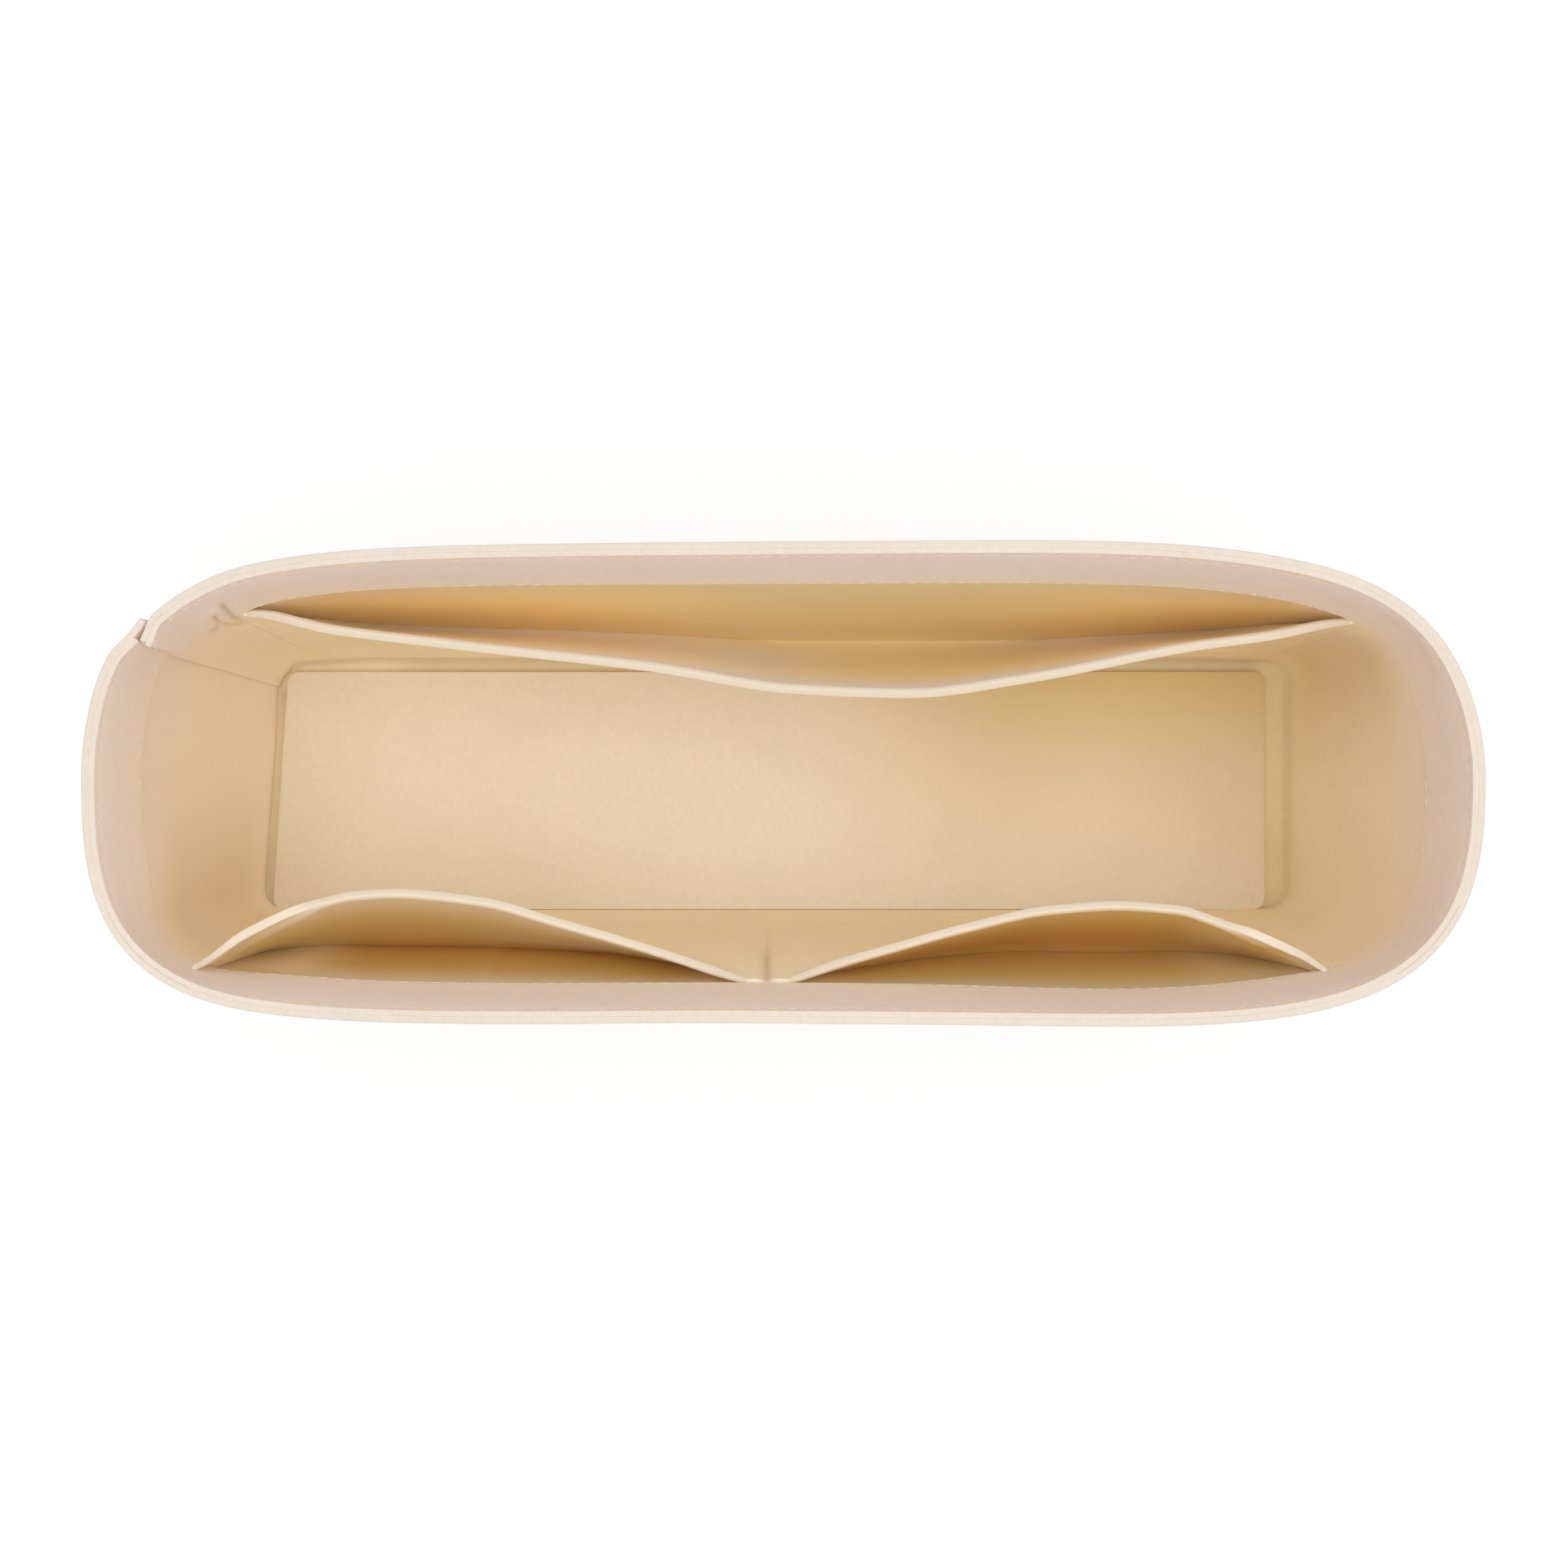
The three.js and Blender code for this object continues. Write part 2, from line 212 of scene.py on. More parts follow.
# How steeply the board's shade comes up towards the rear, and how much is taken off it
BOARD_SHADE_SLOPE = 1.15
BOARD_SHADE_DROP = 0.13

# How far below the rim the strip's inner end has got thin
THIN_DEPTH = 20 * MM

# Where levels lie about a row of stitches and how near it no others come, as shares of its reach
ROW_LEVEL_SHARES = (-1.6, -0.8, 0, 0.8, 1.6)
ROW_ROOM_SHARE = 0.7

# Making felts: the angle past which an edge is sharp, how near its top an edge lies flush, the
# share of its thickness under which a felt is too thin to be rounded, and where points are joined
SHARP_ANGLE = math.radians(50)
FLUSH_ROOM = 0.2 * MM
THIN_SHARE = 0.5
JOINED = 0.01 * MM

# Stitches: points along a row, how far off a direction is measured, the room at a row's ends and
# how deep a stitch's ends dip, as a share of the thread
PATH_STEP = 0.8 * MM
NUDGE = 0.5 * MM
ROW_END_ROOM = 1.5 * MM
STITCH_DIP_SHARE = 0.8

# The floor of the stage lies a little under the object
STAGE_DROP = 0.05 * MM

# A little over white, so that the floor's glow stays white under the object's soft shadow
GLOW_STRENGTH = 1.06


def length(name, description, millimetres):
    return FloatProperty(
        name=name, description=description, default=millimetres * MM, unit="LENGTH", precision=5
    )


def share(name, description, default):
    return FloatProperty(name=name, description=description, default=default, min=0, max=1, subtype="FACTOR")


def colour(name, description, default):
    return FloatVectorProperty(
        name=name, description=description, default=default, min=0, max=1, size=3, subtype="COLOR"
    )


def number(name, description, default):
    return FloatProperty(name=name, description=description, default=default)


def group(name, kind):
    return PointerProperty(name=name, description=kind.__doc__, type=kind)


class TubSizes(bpy.types.PropertyGroup):
    """The tub's outlines"""

    rim_length: length("Rim length", "Outside length over the rim", PACKED_SIZE.x / MM)
    rim_width: length("Rim width", "Outside width over the rim", PACKED_SIZE.y / MM)
    height: length("Height", "From the surface it stands on to the rim", PACKED_SIZE.z / MM)
    foot_length: length("Foot length", "Outside length at the foot", 246)
    foot_width: length("Foot width", "Outside width at the foot", 62.4)
    foot_corner: length("Foot corner", "Radius of the foot's corners", 6.5)
    foot_shift: length("Foot shift", "How far the foot lies to the right of the rim's middle", -0.8)
    foot_skew: length("Foot skew", "How far the foot's left corners are pulled out of square", 2.4)
    end_power: number("End roundness", "Squareness of the rim at its ends; 2 is an ellipse", 6.2)
    rear_power: number("Rear roundness", "Squareness of the rim at the rear", 2.15)
    front_power: number("Front roundness", "Squareness of the rim at the front", 2.9)
    flare_power: number("Flare", "Above 1, the wall leans out more near the rim", 1.25)
    drift: share("Rim drift", "How much of the rim's drift from its even outline shows", 1)


class FeltSizes(bpy.types.PropertyGroup):
    """Thicknesses of the felt and the room between its layers"""

    wall: length("Wall felt", "Thickness of the wall strip", 1.3)
    facing: length("Facing felt", "Thickness of the facing", 1)
    pocket: length("Pocket felt", "Thickness of the pocket panels", 1.7)
    pale_reach: length("Pale reach", "How far down from a mouth's edge its pale fibres show", 1.2)
    floor: length("Floor felt", "Thickness of the sewn floor", 2)
    floor_rise: length("Floor rise", "How far the floor's edge turns up into its seam", 3.6)
    floor_rise_run: length("Floor rise run", "How far from its edge the floor turns up", 2.8)
    board: length("Board felt", "Thickness of the felts on the board", 1)
    gap: length("Layer gap", "Room between layers that are sewn together", 0.25)
    nap: length("Nap", "How deep a panel is pressed into the nap of the wall", 0.3)
    sewn_gap: length("Sewn gap", "Room between the wall and its facing", 0.02)
    edge: length("Edge rounding", "How far a cut edge is rounded", 0.3)
    rim_edge: length("Rim rounding", "How far the edges of the rim's two layers are rounded", 0.3)
    board_edge: length("Board edge rounding", "How far the board's edges are rounded", 0.45)
    tucked: length("Tucked", "How far the floor's edge is tucked into its seam", 0.35)
    step: length("Grid step", "How finely the felt is divided along the wall", 1.6)
    rise: length("Grid rise", "How finely the felt is divided upwards", 3.5)


class LapSizes(bpy.types.PropertyGroup):
    """The lap where the wall strip's ends meet"""

    from_left_end: length("From the left end", "Run from the left end to the outer cut end", 32)
    lap: length("Lap", "How far the ends overlap", 3)
    ease: length("Ease", "Run in which each end comes back in line", 22)
    turn_in: length("Turned in", "How far the inner end is turned in at the rim", 1.6)
    turn_run: length("Turn run", "Run in which that end turns in", 5)
    drawn_in: length("Drawn in", "How far the outer end is drawn in beside the turned end", 0.9)
    drawn_run: length("Drawn run", "Run in which the outer end comes out again", 6)
    turn_depth: length("Turn depth", "How far down the turn reaches", 90)
    slant: length("Slant", "How much further the inner end reaches at the foot than at the rim", 6)
    thin: share("Thin", "Share of its thickness that the inner end loses below the rim", 0.8)
    thin_run: length("Thin run", "Run in which it thins", 5)
    slant_run: length("Slant run", "Run in which the strip takes that slant up", 34)


class FacingSizes(bpy.types.PropertyGroup):
    """The facing inside the rim"""

    height: length("Facing height", "Height of the facing", 30)
    pressed: share("Pressed", "Share of its thickness that the facing loses at its lower edge", 0.7)
    press_run: length("Press run", "How far up from that edge it thickens", 1.5)
    end_gap: length("End gap", "Room between the facing's first end and the wall's inner end", 0.3)
    shared_tone: share("Shared tone", "How much of the facing's tone shows where it meets the wall", 0.5)
    fade_up: length("Fade up", "How far up from its lower edge the facing keeps some of the wall's tone", 13)
    fade_down: length("Fade down", "How far down from there the wall keeps some of the facing's tone", 34)
    to_pocket: length("Facing to pocket", "Room above the pocket panels", 0.4)


class PocketSizes(bpy.types.PropertyGroup):
    """The pockets. Runs are measured along the wall from the middle of its long side"""

    tab: length("Tab", "Width of the sewn ends", 6)
    pressed: share("Pressed", "Share of its thickness that a panel loses where it is sewn down", 0.35)
    press_run: length("Press run", "Run in which it thickens again beside a mouth's end", 7)
    thin_tab: share("Thin tab", "Share of that thickness that the sewn ends lose beyond the mouths", 0.8)
    thin_run: length("Thin run", "Run in which they thin", 1.2)
    sunk: length("Sunk", "How far such an end is pressed into the facing that it is sewn to", 0.4)
    rear_seam_height: length("Rear seam height", "Height of the rear panel's lower edge", 36)
    rear_left: length("Rear pocket left", "Left end of the rear mouth", -104)
    rear_right: length("Rear pocket right", "Right end of the rear mouth", 110)
    rear_depth: length("Rear pocket depth", "How far the rear mouth opens", 21)
    rear_power: number("Rear power", "Under 1 the pocket is full low down, over 1 near its mouth", 0.72)
    front_seam_height: length("Front seam height", "Height of the front panel's lower edge", 45)
    front_seam: length("Front middle seam", "Place of the seam between the front pockets", -3)
    front_seam_room: length("Middle seam room", "Flat room at each side of that seam", 4)
    front_left: length("Front left pocket", "Left end of the front left mouth", -108)
    front_left_depth: length("Front left depth", "How far the front left mouth opens", 16.9)
    front_left_power: number("Front left power", "Under 1 it is full low down, over 1 near its mouth", 0.85)
    front_right: length("Front right pocket", "Right end of the front right mouth", 101)
    front_right_depth: length("Front right depth", "How far the front right mouth opens", 16)
    front_right_power: number("Front right power", "Under 1 it is full low down, over 1 near its mouth", 0.8)
    shade_reach: length("Shade reach", "How far down the shade under the rear mouth's right half goes", 40)
    front_left_rise: length("Front left rise", "How far the front's left end is sewn up over the facing", 13)
    front_right_rise: length("Front right rise", "How far its right end is sewn up over the facing", 5)
    rise_run: length("Rise run", "Run in which these ends come up", 22)


class BoardSizes(bpy.types.PropertyGroup):
    """The loose board"""

    corner: length("Board corner", "Radius of the board's corners", 2.6)
    skew: length("Board skew", "How far its left end is cut out of square", 1.8)
    front_reach: length("Front reach", "How far the board's felts reach past its box at the front", 1.4)
    shade: share("Board shade", "How much the board is shaded at its rear right corner", 1)
    shade_run: length("Shade run", "How far to the right of the middle that shade comes up", 60)
    swell: length("Board swell", "How far its felt swells between the edges", 0.25)


class StitchSizes(bpy.types.PropertyGroup):
    """The topstitching"""

    stitch: length("Stitch", "Length of one stitch", 2.5)
    pitch: length("Pitch", "From one stitch to the next", 3.1)
    thread: length("Thread", "Thickness of the thread", 0.3)
    groove: length("Groove", "How far a row draws the felt in", 0.1)
    groove_reach: length("Groove reach", "Half width of that draw", 0.8)
    rim_row: length("Rim row", "From the rim down to its row", 2.6)
    facing_row: length("Facing row", "From the facing's lower edge up to its row", 2.2)
    pocket_row: length("Pocket row", "From the pockets' lower edge up to their row", 2.6)
    floor_row: length("Floor row", "Height of the row that holds the floor", 3)
    middle_groove: length("Middle groove", "How far the front's middle seam draws the panel in", 0.45)
    middle_reach: length("Middle reach", "Half width of that draw", 1.1)
    lap_row: length("Lap row", "From the cut end to its row", 1.6)


# What the painted light and shade inside a pocket is for: name and description
POCKET_COLOURS = {
    "wall_mouth": ("Wall at the mouth", "The wall just inside the mouth"),
    "wall_deep": ("Wall halfway", "The wall halfway down"),
    "wall_ends": ("Wall at the ends", "The wall in the narrow ends"),
    "back_mouth": ("Back at the mouth", "The panel's back at its mouth"),
    "back_deep": ("Back halfway", "The panel's back halfway down"),
    "back_ends": ("Back at the ends", "The panel's back in the narrow ends"),
    "fold": ("Fold", "Where the panel leaves the wall"),
    "back_right": ("Back at the right", "The panel's back halfway down, farther right"),
}


def pocket_colours(*defaults):
    """The painted light and shade inside one pocket, in the order of POCKET_COLOURS."""
    return {key: colour(*texts, default) for (key, texts), default in zip(POCKET_COLOURS.items(), defaults)}


class RearPocketColours(bpy.types.PropertyGroup):
    """Painted light and shade on the felt inside the rear pocket"""

    __annotations__ = pocket_colours(
        (0.84, 0.67, 0.37), (0.865, 0.74, 0.46), (0.97, 0.78, 0.42), (0.87, 0.87, 0.96),
        (0.95, 0.92, 0.93), (0.97, 0.93, 0.93), (0.95, 0.85, 0.62), (0.95, 0.85, 0.62),
    )


class LeftPocketColours(bpy.types.PropertyGroup):
    """Painted light and shade on the felt inside the front left pocket"""

    __annotations__ = pocket_colours(
        (0.765, 0.65, 0.48), (0.71, 0.5, 0.17), (0.97, 0.87, 0.67), (0.84, 0.705, 0.5),
        (0.84, 0.66, 0.28), (0.8, 0.66, 0.34), (0.73, 0.47, 0.09), (0.94, 0.87, 0.62),
    )


class RightPocketColours(bpy.types.PropertyGroup):
    """Painted light and shade on the felt inside the front right pocket"""

    __annotations__ = pocket_colours(
        (0.73, 0.68, 0.49), (0.81, 0.65, 0.25), (0.86, 0.76, 0.48), (0.75, 0.51, 0.17),
        (0.8, 0.56, 0.2), (0.8, 0.62, 0.32), (0.78, 0.565, 0.185), (0.73, 0.47, 0.12),
    )


class FeltColours(bpy.types.PropertyGroup):
    """Colours of the felts, the thread and the board's stiff sheet"""

    wall: colour("Wall", "The inner side of the wall strip", (0.955, 0.87, 0.70))
    left_wall: colour("Wall at the left", "The wall at the left end, nearer the light", (0.965, 0.89, 0.76))
    outside: colour("Outside", "The outer side of the wall strip", (0.88, 0.785, 0.675))
    facing: colour("Facing", "The facing inside the rim", (0.90, 0.785, 0.715))
    left_facing: colour("Facing at the left", "The facing at the left, nearer the light", (0.94, 0.83, 0.745))
    pocket: colour("Pocket", "The pocket panels", (0.955, 0.86, 0.68))
    rear: group("Rear", RearPocketColours)
    left: group("Left", LeftPocketColours)
    right: group("Right", RightPocketColours)
    # The sewn floor's felt, darkened to a deeper golden as painted shade of the narrow gutter where it shows
    floor: colour("Floor", "The sewn floor, seen beside the board", (0.865, 0.75, 0.50))
    shaded: colour("Shaded", "The felt where it lies in soft shade", (0.78, 0.63, 0.43))
    # Painted shade under the rear mouth's right half
    under_rear: colour("Under the rear mouth", "The rear panel under its mouth's right", (0.8, 0.595, 0.335))
    # Painted light that pales the floor in the narrow trench beside the board
    trench: colour("Trench", "The sewn floor in the narrow trench beside the board", (1, 0.9, 0.68))
    # Painted shade: laid in the creases, in the front's middle seam and in the puckers under the rim
    crease: colour("Crease", "The felt inside a sharp crease", (0.55, 0.40, 0.22))
    board: colour("Board", "The board's felts", (0.80, 0.735, 0.62))
    board_shade: colour("Board in shade", "The board's felt at its rear right corner", (0.68, 0.545, 0.3))
    cut_edge: colour("Cut edge", "Cut edges, where the pale fibres stand up", (0.69, 0.605, 0.52))
    mouth_edge: colour("Mouth edge", "The cut edges of the pockets' mouths", (0.78, 0.69, 0.565))
    thread: colour("Thread", "The sewing thread", (0.80, 0.70, 0.57))
    core: colour("Core", "The board's stiff sheet", (0.72, 0.55, 0.38))


class StageLook(bpy.types.PropertyGroup):
    """Camera, lamps and floor"""

    camera_height: length("Camera height", "Height of the camera above the floor", 545)
    view_width: length("View width", "Width of the picture at the rim's height", 278.7)
    sensor: number("Sensor", "Sensor width in millimetres", 36)
    floor_size: length("Floor size", "Side of the floor", 6000)
    floor_colour: colour("Floor", "Colour of the floor", (0.86, 0.86, 0.86))
    backdrop_glow: share("Backdrop glow", "Share of plain white in what the camera sees of the floor", 0.62)
    sky: number("Sky", "Strength of the even light from all round", 0.69)
    lamp_power: number("Lamp power", "Power of the overhead lamp in watts", 9)
    lamp_size: length("Lamp size", "Diameter of the overhead lamp", 900)
    lamp_height: length("Lamp height", "Height of the overhead lamp", 1300)
    lamp_right: length("Lamp to the right", "How far right the lamp stands", 60)
    lamp_rear: length("Lamp to the rear", "How far to the rear the lamp stands", -20)


class InsertSettings(bpy.types.PropertyGroup):
    """All that the insert is built from"""

    tub: group("Tub", TubSizes)
    felt: group("Felt", FeltSizes)
    lap: group("Lap", LapSizes)
    facing: group("Facing", FacingSizes)
    pocket: group("Pockets", PocketSizes)
    board: group("Board", BoardSizes)
    stitch: group("Stitching", StitchSizes)
    colour: group("Colours", FeltColours)
    stage: group("Stage", StageLook)


# Outlines


def evenly_run(curve):
    """A curve by shares of its length: returns what gives its points, and its length."""
    points = curve(np.linspace(0, 1, OUTLINE_STEPS + 1))
    steps = np.hypot(*np.diff(points, axis=0).T)
    lengths = np.concatenate([[0], np.cumsum(steps)])

    def point_at(part):
        wanted = np.asarray(part) * lengths[-1]
        return np.stack([np.interp(wanted, lengths, points[:, axis]) for axis in (0, 1)], axis=-1)

    return point_at, lengths[-1]


def smooth(part):
    held = np.clip(part, 0, 1)
    return held * held * (3 - 2 * held)


def rising(value, first, last):
    """0 up to first and 1 from last on, with a soft turn between them."""
    return smooth((value - first) / (last - first))


def hump(away, reach):
    """1 on a line or point, and nearly 0 from twice the reach."""
    return np.exp(-((away / reach) ** 2))


def faded_ends(part, end_share):
    """1 along a line, fading out over a share of it at each end."""
    return smooth(part / end_share) * smooth((1 - part) / end_share)


def through_shares(table, part):
    """A curve through a table of shares, with no overshoot, and 0 outside it."""
    at = np.array(table, float)[:, 0]
    values = np.array(table, float)[:, 1]
    widths = np.diff(at)
    slopes = np.diff(values) / widths
    before, after = slopes[:-1], slopes[1:]
    both = np.where(before * after > 0, before + after, 1)
    inner = np.where(before * after > 0, 2 * before * after / both, 0)
    leans = np.concatenate([slopes[:1], inner, slopes[-1:]])
    k = np.clip(np.searchsorted(at, part, side="right") - 1, 0, len(widths) - 1)
    inside = (part - at[k]) / widths[k]
    rise = values[k + 1] - values[k]
    bend = inside * (1 - inside) * widths[k]
    lean = (1 - inside) * (leans[k] - slopes[k]) - inside * (leans[k + 1] - slopes[k])
    return np.where((part <= 0) | (part >= 1), 0, values[k] + rise * inside + bend * lean)


def with_alpha(rgb, alpha):
    """A tone: a colour, one for all points or one for each, and how much of it shows."""
    rgb = np.array(rgb)
    return np.concatenate([np.broadcast_to(rgb, (*alpha.shape, 3)), alpha[..., None]], axis=-1)


def laid_over(under, over):
    """Two tones, one laid over the other."""
    shown = over[..., 3:]
    left = under[..., 3:] * (1 - shown)
    alpha = np.maximum(shown + left, 1e-6)
    return np.concatenate([(over[..., :3] * shown + under[..., :3] * left) / alpha, alpha], axis=-1)


def toned(tone, rgb, alpha):
    """A tone with a colour laid over it, as much of it as alpha says."""
    return laid_over(tone, with_alpha(rgb, alpha))


class TubShape:
    """Where the wall and the layers on it lie.

    A place along the wall is counted in quarters, anticlockwise from the right end: the rear
    middle is 1, the left end 2 and the front middle 3.
    """

    def __init__(self, settings):
        self.tub = settings.tub
        self.felt = settings.felt
        self.lap = settings.lap
        self.facing = settings.facing
        self.pocket = settings.pocket
        self.stitch = settings.stitch
        self.colours = settings.colour
        self.rear_rim, self.quarter = evenly_run(lambda part: self.rim_quarter(part, self.tub.rear_power))
        self.front_rim, _ = evenly_run(lambda part: self.rim_quarter(part, self.tub.front_power))
        self.foot, _ = evenly_run(self.foot_quarter)
        self.lap_start = LEFT_END - self.lap.from_left_end / self.quarter
        self.lap_end = self.lap_start + self.lap.lap / self.quarter
        self.lap_shift = (self.felt.wall + self.felt.gap) / 2
        self.facing_low = self.tub.height - self.facing.height
        self.pocket_top = self.facing_low - self.facing.to_pocket
        crease_runs = [run * MM for first, _, last, _ in CREASES for run in (first, last)]
        self.crease_place = REAR_MIDDLE - (min(crease_runs) + max(crease_runs)) / 2 / self.quarter
        self.crease_half = ((max(crease_runs) - min(crease_runs)) / 2 + 3 * CREASE_REACH * MM) / self.quarter

    def rim_quarter(self, part, side_power):
        turn = math.pi / 2 * (1 - (1 - part) ** (self.tub.end_power / 2))
        x = self.tub.rim_length / 2 * np.maximum(np.cos(turn), 0) ** (2 / self.tub.end_power)
        y = self.tub.rim_width / 2 * np.sin(turn) ** (2 / side_power)
        return np.stack([x, y], axis=-1)

    def foot_quarter(self, part):
        corner = self.tub.foot_corner
        end_run = self.tub.foot_width / 2 - corner
        arc_run = math.pi / 2 * corner
        side_run = self.tub.foot_length / 2 - corner
        run = part * (end_run + arc_run + side_run)
        turn = np.clip((run - end_run) / corner, 0, math.pi / 2)
        x = side_run + corner * np.cos(turn) - np.maximum(run - end_run - arc_run, 0)
        y = np.minimum(run, end_run) + corner * np.sin(turn)
        return np.stack([x, y], axis=-1)

    def wall_point(self, place, z):
        tub = self.tub
        around = np.mod(place, QUARTERS)
        quarter = np.minimum(np.floor(around), QUARTERS - 1)
        part = np.where(quarter % 2 == 0, around - quarter, 1 - around + quarter)
        side_x = np.where((quarter == 0) | (quarter == FRONT_MIDDLE), 1, -1)
        side_y = np.where(quarter < LEFT_END, 1, -1)
        rim = np.where((side_y > 0)[..., None], self.rear_rim(part), self.front_rim(part))
        rim_x = side_x * rim[..., 0]
        rim_y = side_y * rim[..., 1]
        foot = self.foot(part)
        foot_x = side_x * foot[..., 0]
        foot_y = side_y * foot[..., 1]
        pulled = np.clip(-foot_x / (tub.foot_length / 2), 0, 1) ** 3
        foot_x = foot_x + tub.foot_shift + tub.foot_skew * pulled * foot_y / (tub.foot_width / 2)
        lean = np.clip(z / tub.height, 0, None) ** tub.flare_power
        return np.stack([(1 - lean) * foot_x + lean * rim_x, (1 - lean) * foot_y + lean * rim_y], axis=-1)

    def drift(self, place, z):
        """How far the soft rim lies outside its even outline, fading out downwards."""
        around = np.mod(place, QUARTERS)
        at = around * len(RIM_DRIFTS) / QUARTERS
        low = np.floor(at).astype(int) % len(RIM_DRIFTS)
        part = at - np.floor(at)
        weights = (
            (1 - part) ** 3,
            3 * part**3 - 6 * part**2 + 4,
            -3 * part**3 + 3 * part**2 + 3 * part + 1,
            part**3,
        )
        table = np.array(RIM_DRIFTS)
        total = sum(weight * table[(low + k - 1) % len(table)] for k, weight in enumerate(weights))
        up = np.clip(z / self.tub.height, 0, 1)
        bulge = sum(out * hump(around - centre, reach) for centre, reach, out in CORNER_BULGES)
        return (total / 6 * up**DRIFT_POWER + bulge * np.sin(math.pi * up**BULGE_POWER)) * MM * self.tub.drift

    def inset_point(self, place, z, inset):
        place, z = np.broadcast_arrays(np.asarray(place, float), np.asarray(z, float))
        step = NORMAL_STEP_SHARE
        along = self.wall_point(place + step, z) - self.wall_point(place - step, z)
        normal = np.stack([along[..., 1], -along[..., 0]], axis=-1)
        normal = normal / np.linalg.norm(normal, axis=-1, keepdims=True)
        flat = self.wall_point(place, z) - normal * (inset - self.drift(place, z))[..., None]
        return np.concatenate([flat, z[..., None]], axis=-1)

    def to_inner_end(self, place):
        """The run left to the strip's inner end."""
        return (self.lap_end + QUARTERS - place) * self.quarter

    def lap_hold(self, run):
        return 1 - smooth((run - self.lap.lap) / self.lap.ease)

    def strip_inset(self, place, z):
        """How far the strip stands in from its nominal face; its first end lies outside its last."""
        from_start = (place - self.lap_start) * self.quarter
        to_end = self.to_inner_end(place)
        high = smooth(1 - (self.tub.height - z) / self.lap.turn_depth)
        turned = self.lap.turn_in * (1 - smooth(to_end / self.lap.turn_run)) * high
        beside = 1 - smooth(np.abs(from_start - self.lap.lap) / self.lap.drawn_run)
        drawn = self.lap.drawn_in * beside * high
        out_of_line = self.lap_hold(to_end) - self.lap_hold(from_start)
        return self.lap_shift * out_of_line + turned + drawn

    def inner_inset(self, place):
        """The face that pieces inside the wall lie against, below the turned end."""
        half = QUARTERS / 2
        past_end = (np.mod(place - self.lap_end + half, QUARTERS) - half) * self.quarter
        hold = np.where(past_end > 0, -self.lap_hold(past_end + self.lap.lap), self.lap_hold(-past_end))
        return self.felt.wall + self.lap_shift * hold

    def rows_drawn(self, z, heights):
        """How far the rows of stitches at these heights draw the felt in."""
        reach = self.stitch.groove_reach
        return self.stitch.groove * sum(hump(z - height, reach) for height in heights)

    def wall_rows(self):
        stitch = self.stitch
        return stitch.floor_row, self.facing_low + stitch.facing_row, self.tub.height - stitch.rim_row

    def facing_rows(self):
        return self.wall_rows()[1:]

    def slanted(self, place, z):
        """Where a place on the strip lies once its inner end's slant is taken up."""
        low = np.clip(1 - z / self.tub.height, 0, 1) ** SLANT_POWER
        near_end = 1 - smooth(self.to_inner_end(place) / self.lap.slant_run)
        return place + self.lap.slant / self.quarter * low * near_end

    def strip_share(self, place, z):
        """Share of the wall felt's thickness: its inner end is pressed thin below the rim."""
        low = smooth((self.tub.height - z) / THIN_DEPTH)
        return 1 - self.lap.thin * low * (1 - smooth(self.to_inner_end(place) / self.lap.thin_run))

    def wall_outside(self, place, z):
        inset = self.strip_inset(place, z) + self.rows_drawn(z, self.wall_rows())
        return self.inset_point(self.slanted(place, z), z, inset)

    def facing_ends(self):
        return self.lap_end + self.facing.end_gap / self.quarter, self.lap_end + QUARTERS

    def facing_lie(self, place, z):
        """How far in the facing's outer face lies."""
        wall_face = self.strip_inset(place, z) + self.felt.wall
        return wall_face + self.felt.sewn_gap - self.rows_drawn(z, self.facing_rows()) + self.pucker(place, z)

    def facing_outside(self, place, z):
        return self.inset_point(place, z, self.facing_lie(place, z))

    def facing_thickness(self, z):
        from_edge = z - self.facing_low
        return self.felt.facing * (1 - self.facing.pressed * (1 - smooth(from_edge / self.facing.press_run)))

    def facing_inside(self, place, z):
        return self.inset_point(place, z, self.facing_lie(place, z) + self.facing_thickness(z))

    def at_rear(self, run):
        return REAR_MIDDLE - run / self.quarter

    def at_front(self, run):
        return FRONT_MIDDLE + run / self.quarter

    def mouths(self, side):
        """First place, last place, depth, power, bow table and peel table of each mouth at one side."""
        pocket = self.pocket
        if side == "rear":
            ends = (self.at_rear(pocket.rear_left), self.at_rear(pocket.rear_right))
            return [(*ends, pocket.rear_depth, pocket.rear_power, REAR_BOW_SHARES, REAR_PEEL_SHARES)]
        runs = (
            pocket.front_left, pocket.front_seam - pocket.front_seam_room,
            pocket.front_seam + pocket.front_seam_room, pocket.front_right,
        )
        ends = [self.at_front(run) for run in runs]
        left = (pocket.front_left_depth, pocket.front_left_power)
        right = (pocket.front_right_depth, pocket.front_right_power)
        return [
            (*ends[:2], *left, FRONT_LEFT_BOW_SHARES, FRONT_LEFT_PEEL_SHARES),
            (*ends[2:], *right, FRONT_RIGHT_BOW_SHARES, FRONT_RIGHT_PEEL_SHARES),
        ]

    def panel_ends(self, side):
        pocket = self.pocket
        if side == "rear":
            return self.at_rear(pocket.rear_right + pocket.tab), self.at_rear(pocket.rear_left - pocket.tab)
        return self.at_front(pocket.front_left - pocket.tab), self.at_front(pocket.front_right + pocket.tab)

    def seam_height(self, side):
        return self.pocket.rear_seam_height if side == "rear" else self.pocket.front_seam_height

    def panel_bow(self, side, place, z):
        seam_height = self.seam_height(side)
        up = (z - seam_height) / (self.pocket_top - seam_height)
        bow = np.zeros(np.broadcast(place, z).shape)
        for first, last, depth, power, bow_shares, peel_shares in self.mouths(side):
            along = (place - first) / (last - first)
            part = through_shares(bow_shares, along)
            peel = through_shares(peel_shares, along)
            bow = bow + depth * part * np.maximum((up - peel) / (1 - peel), 0) ** power
        return bow

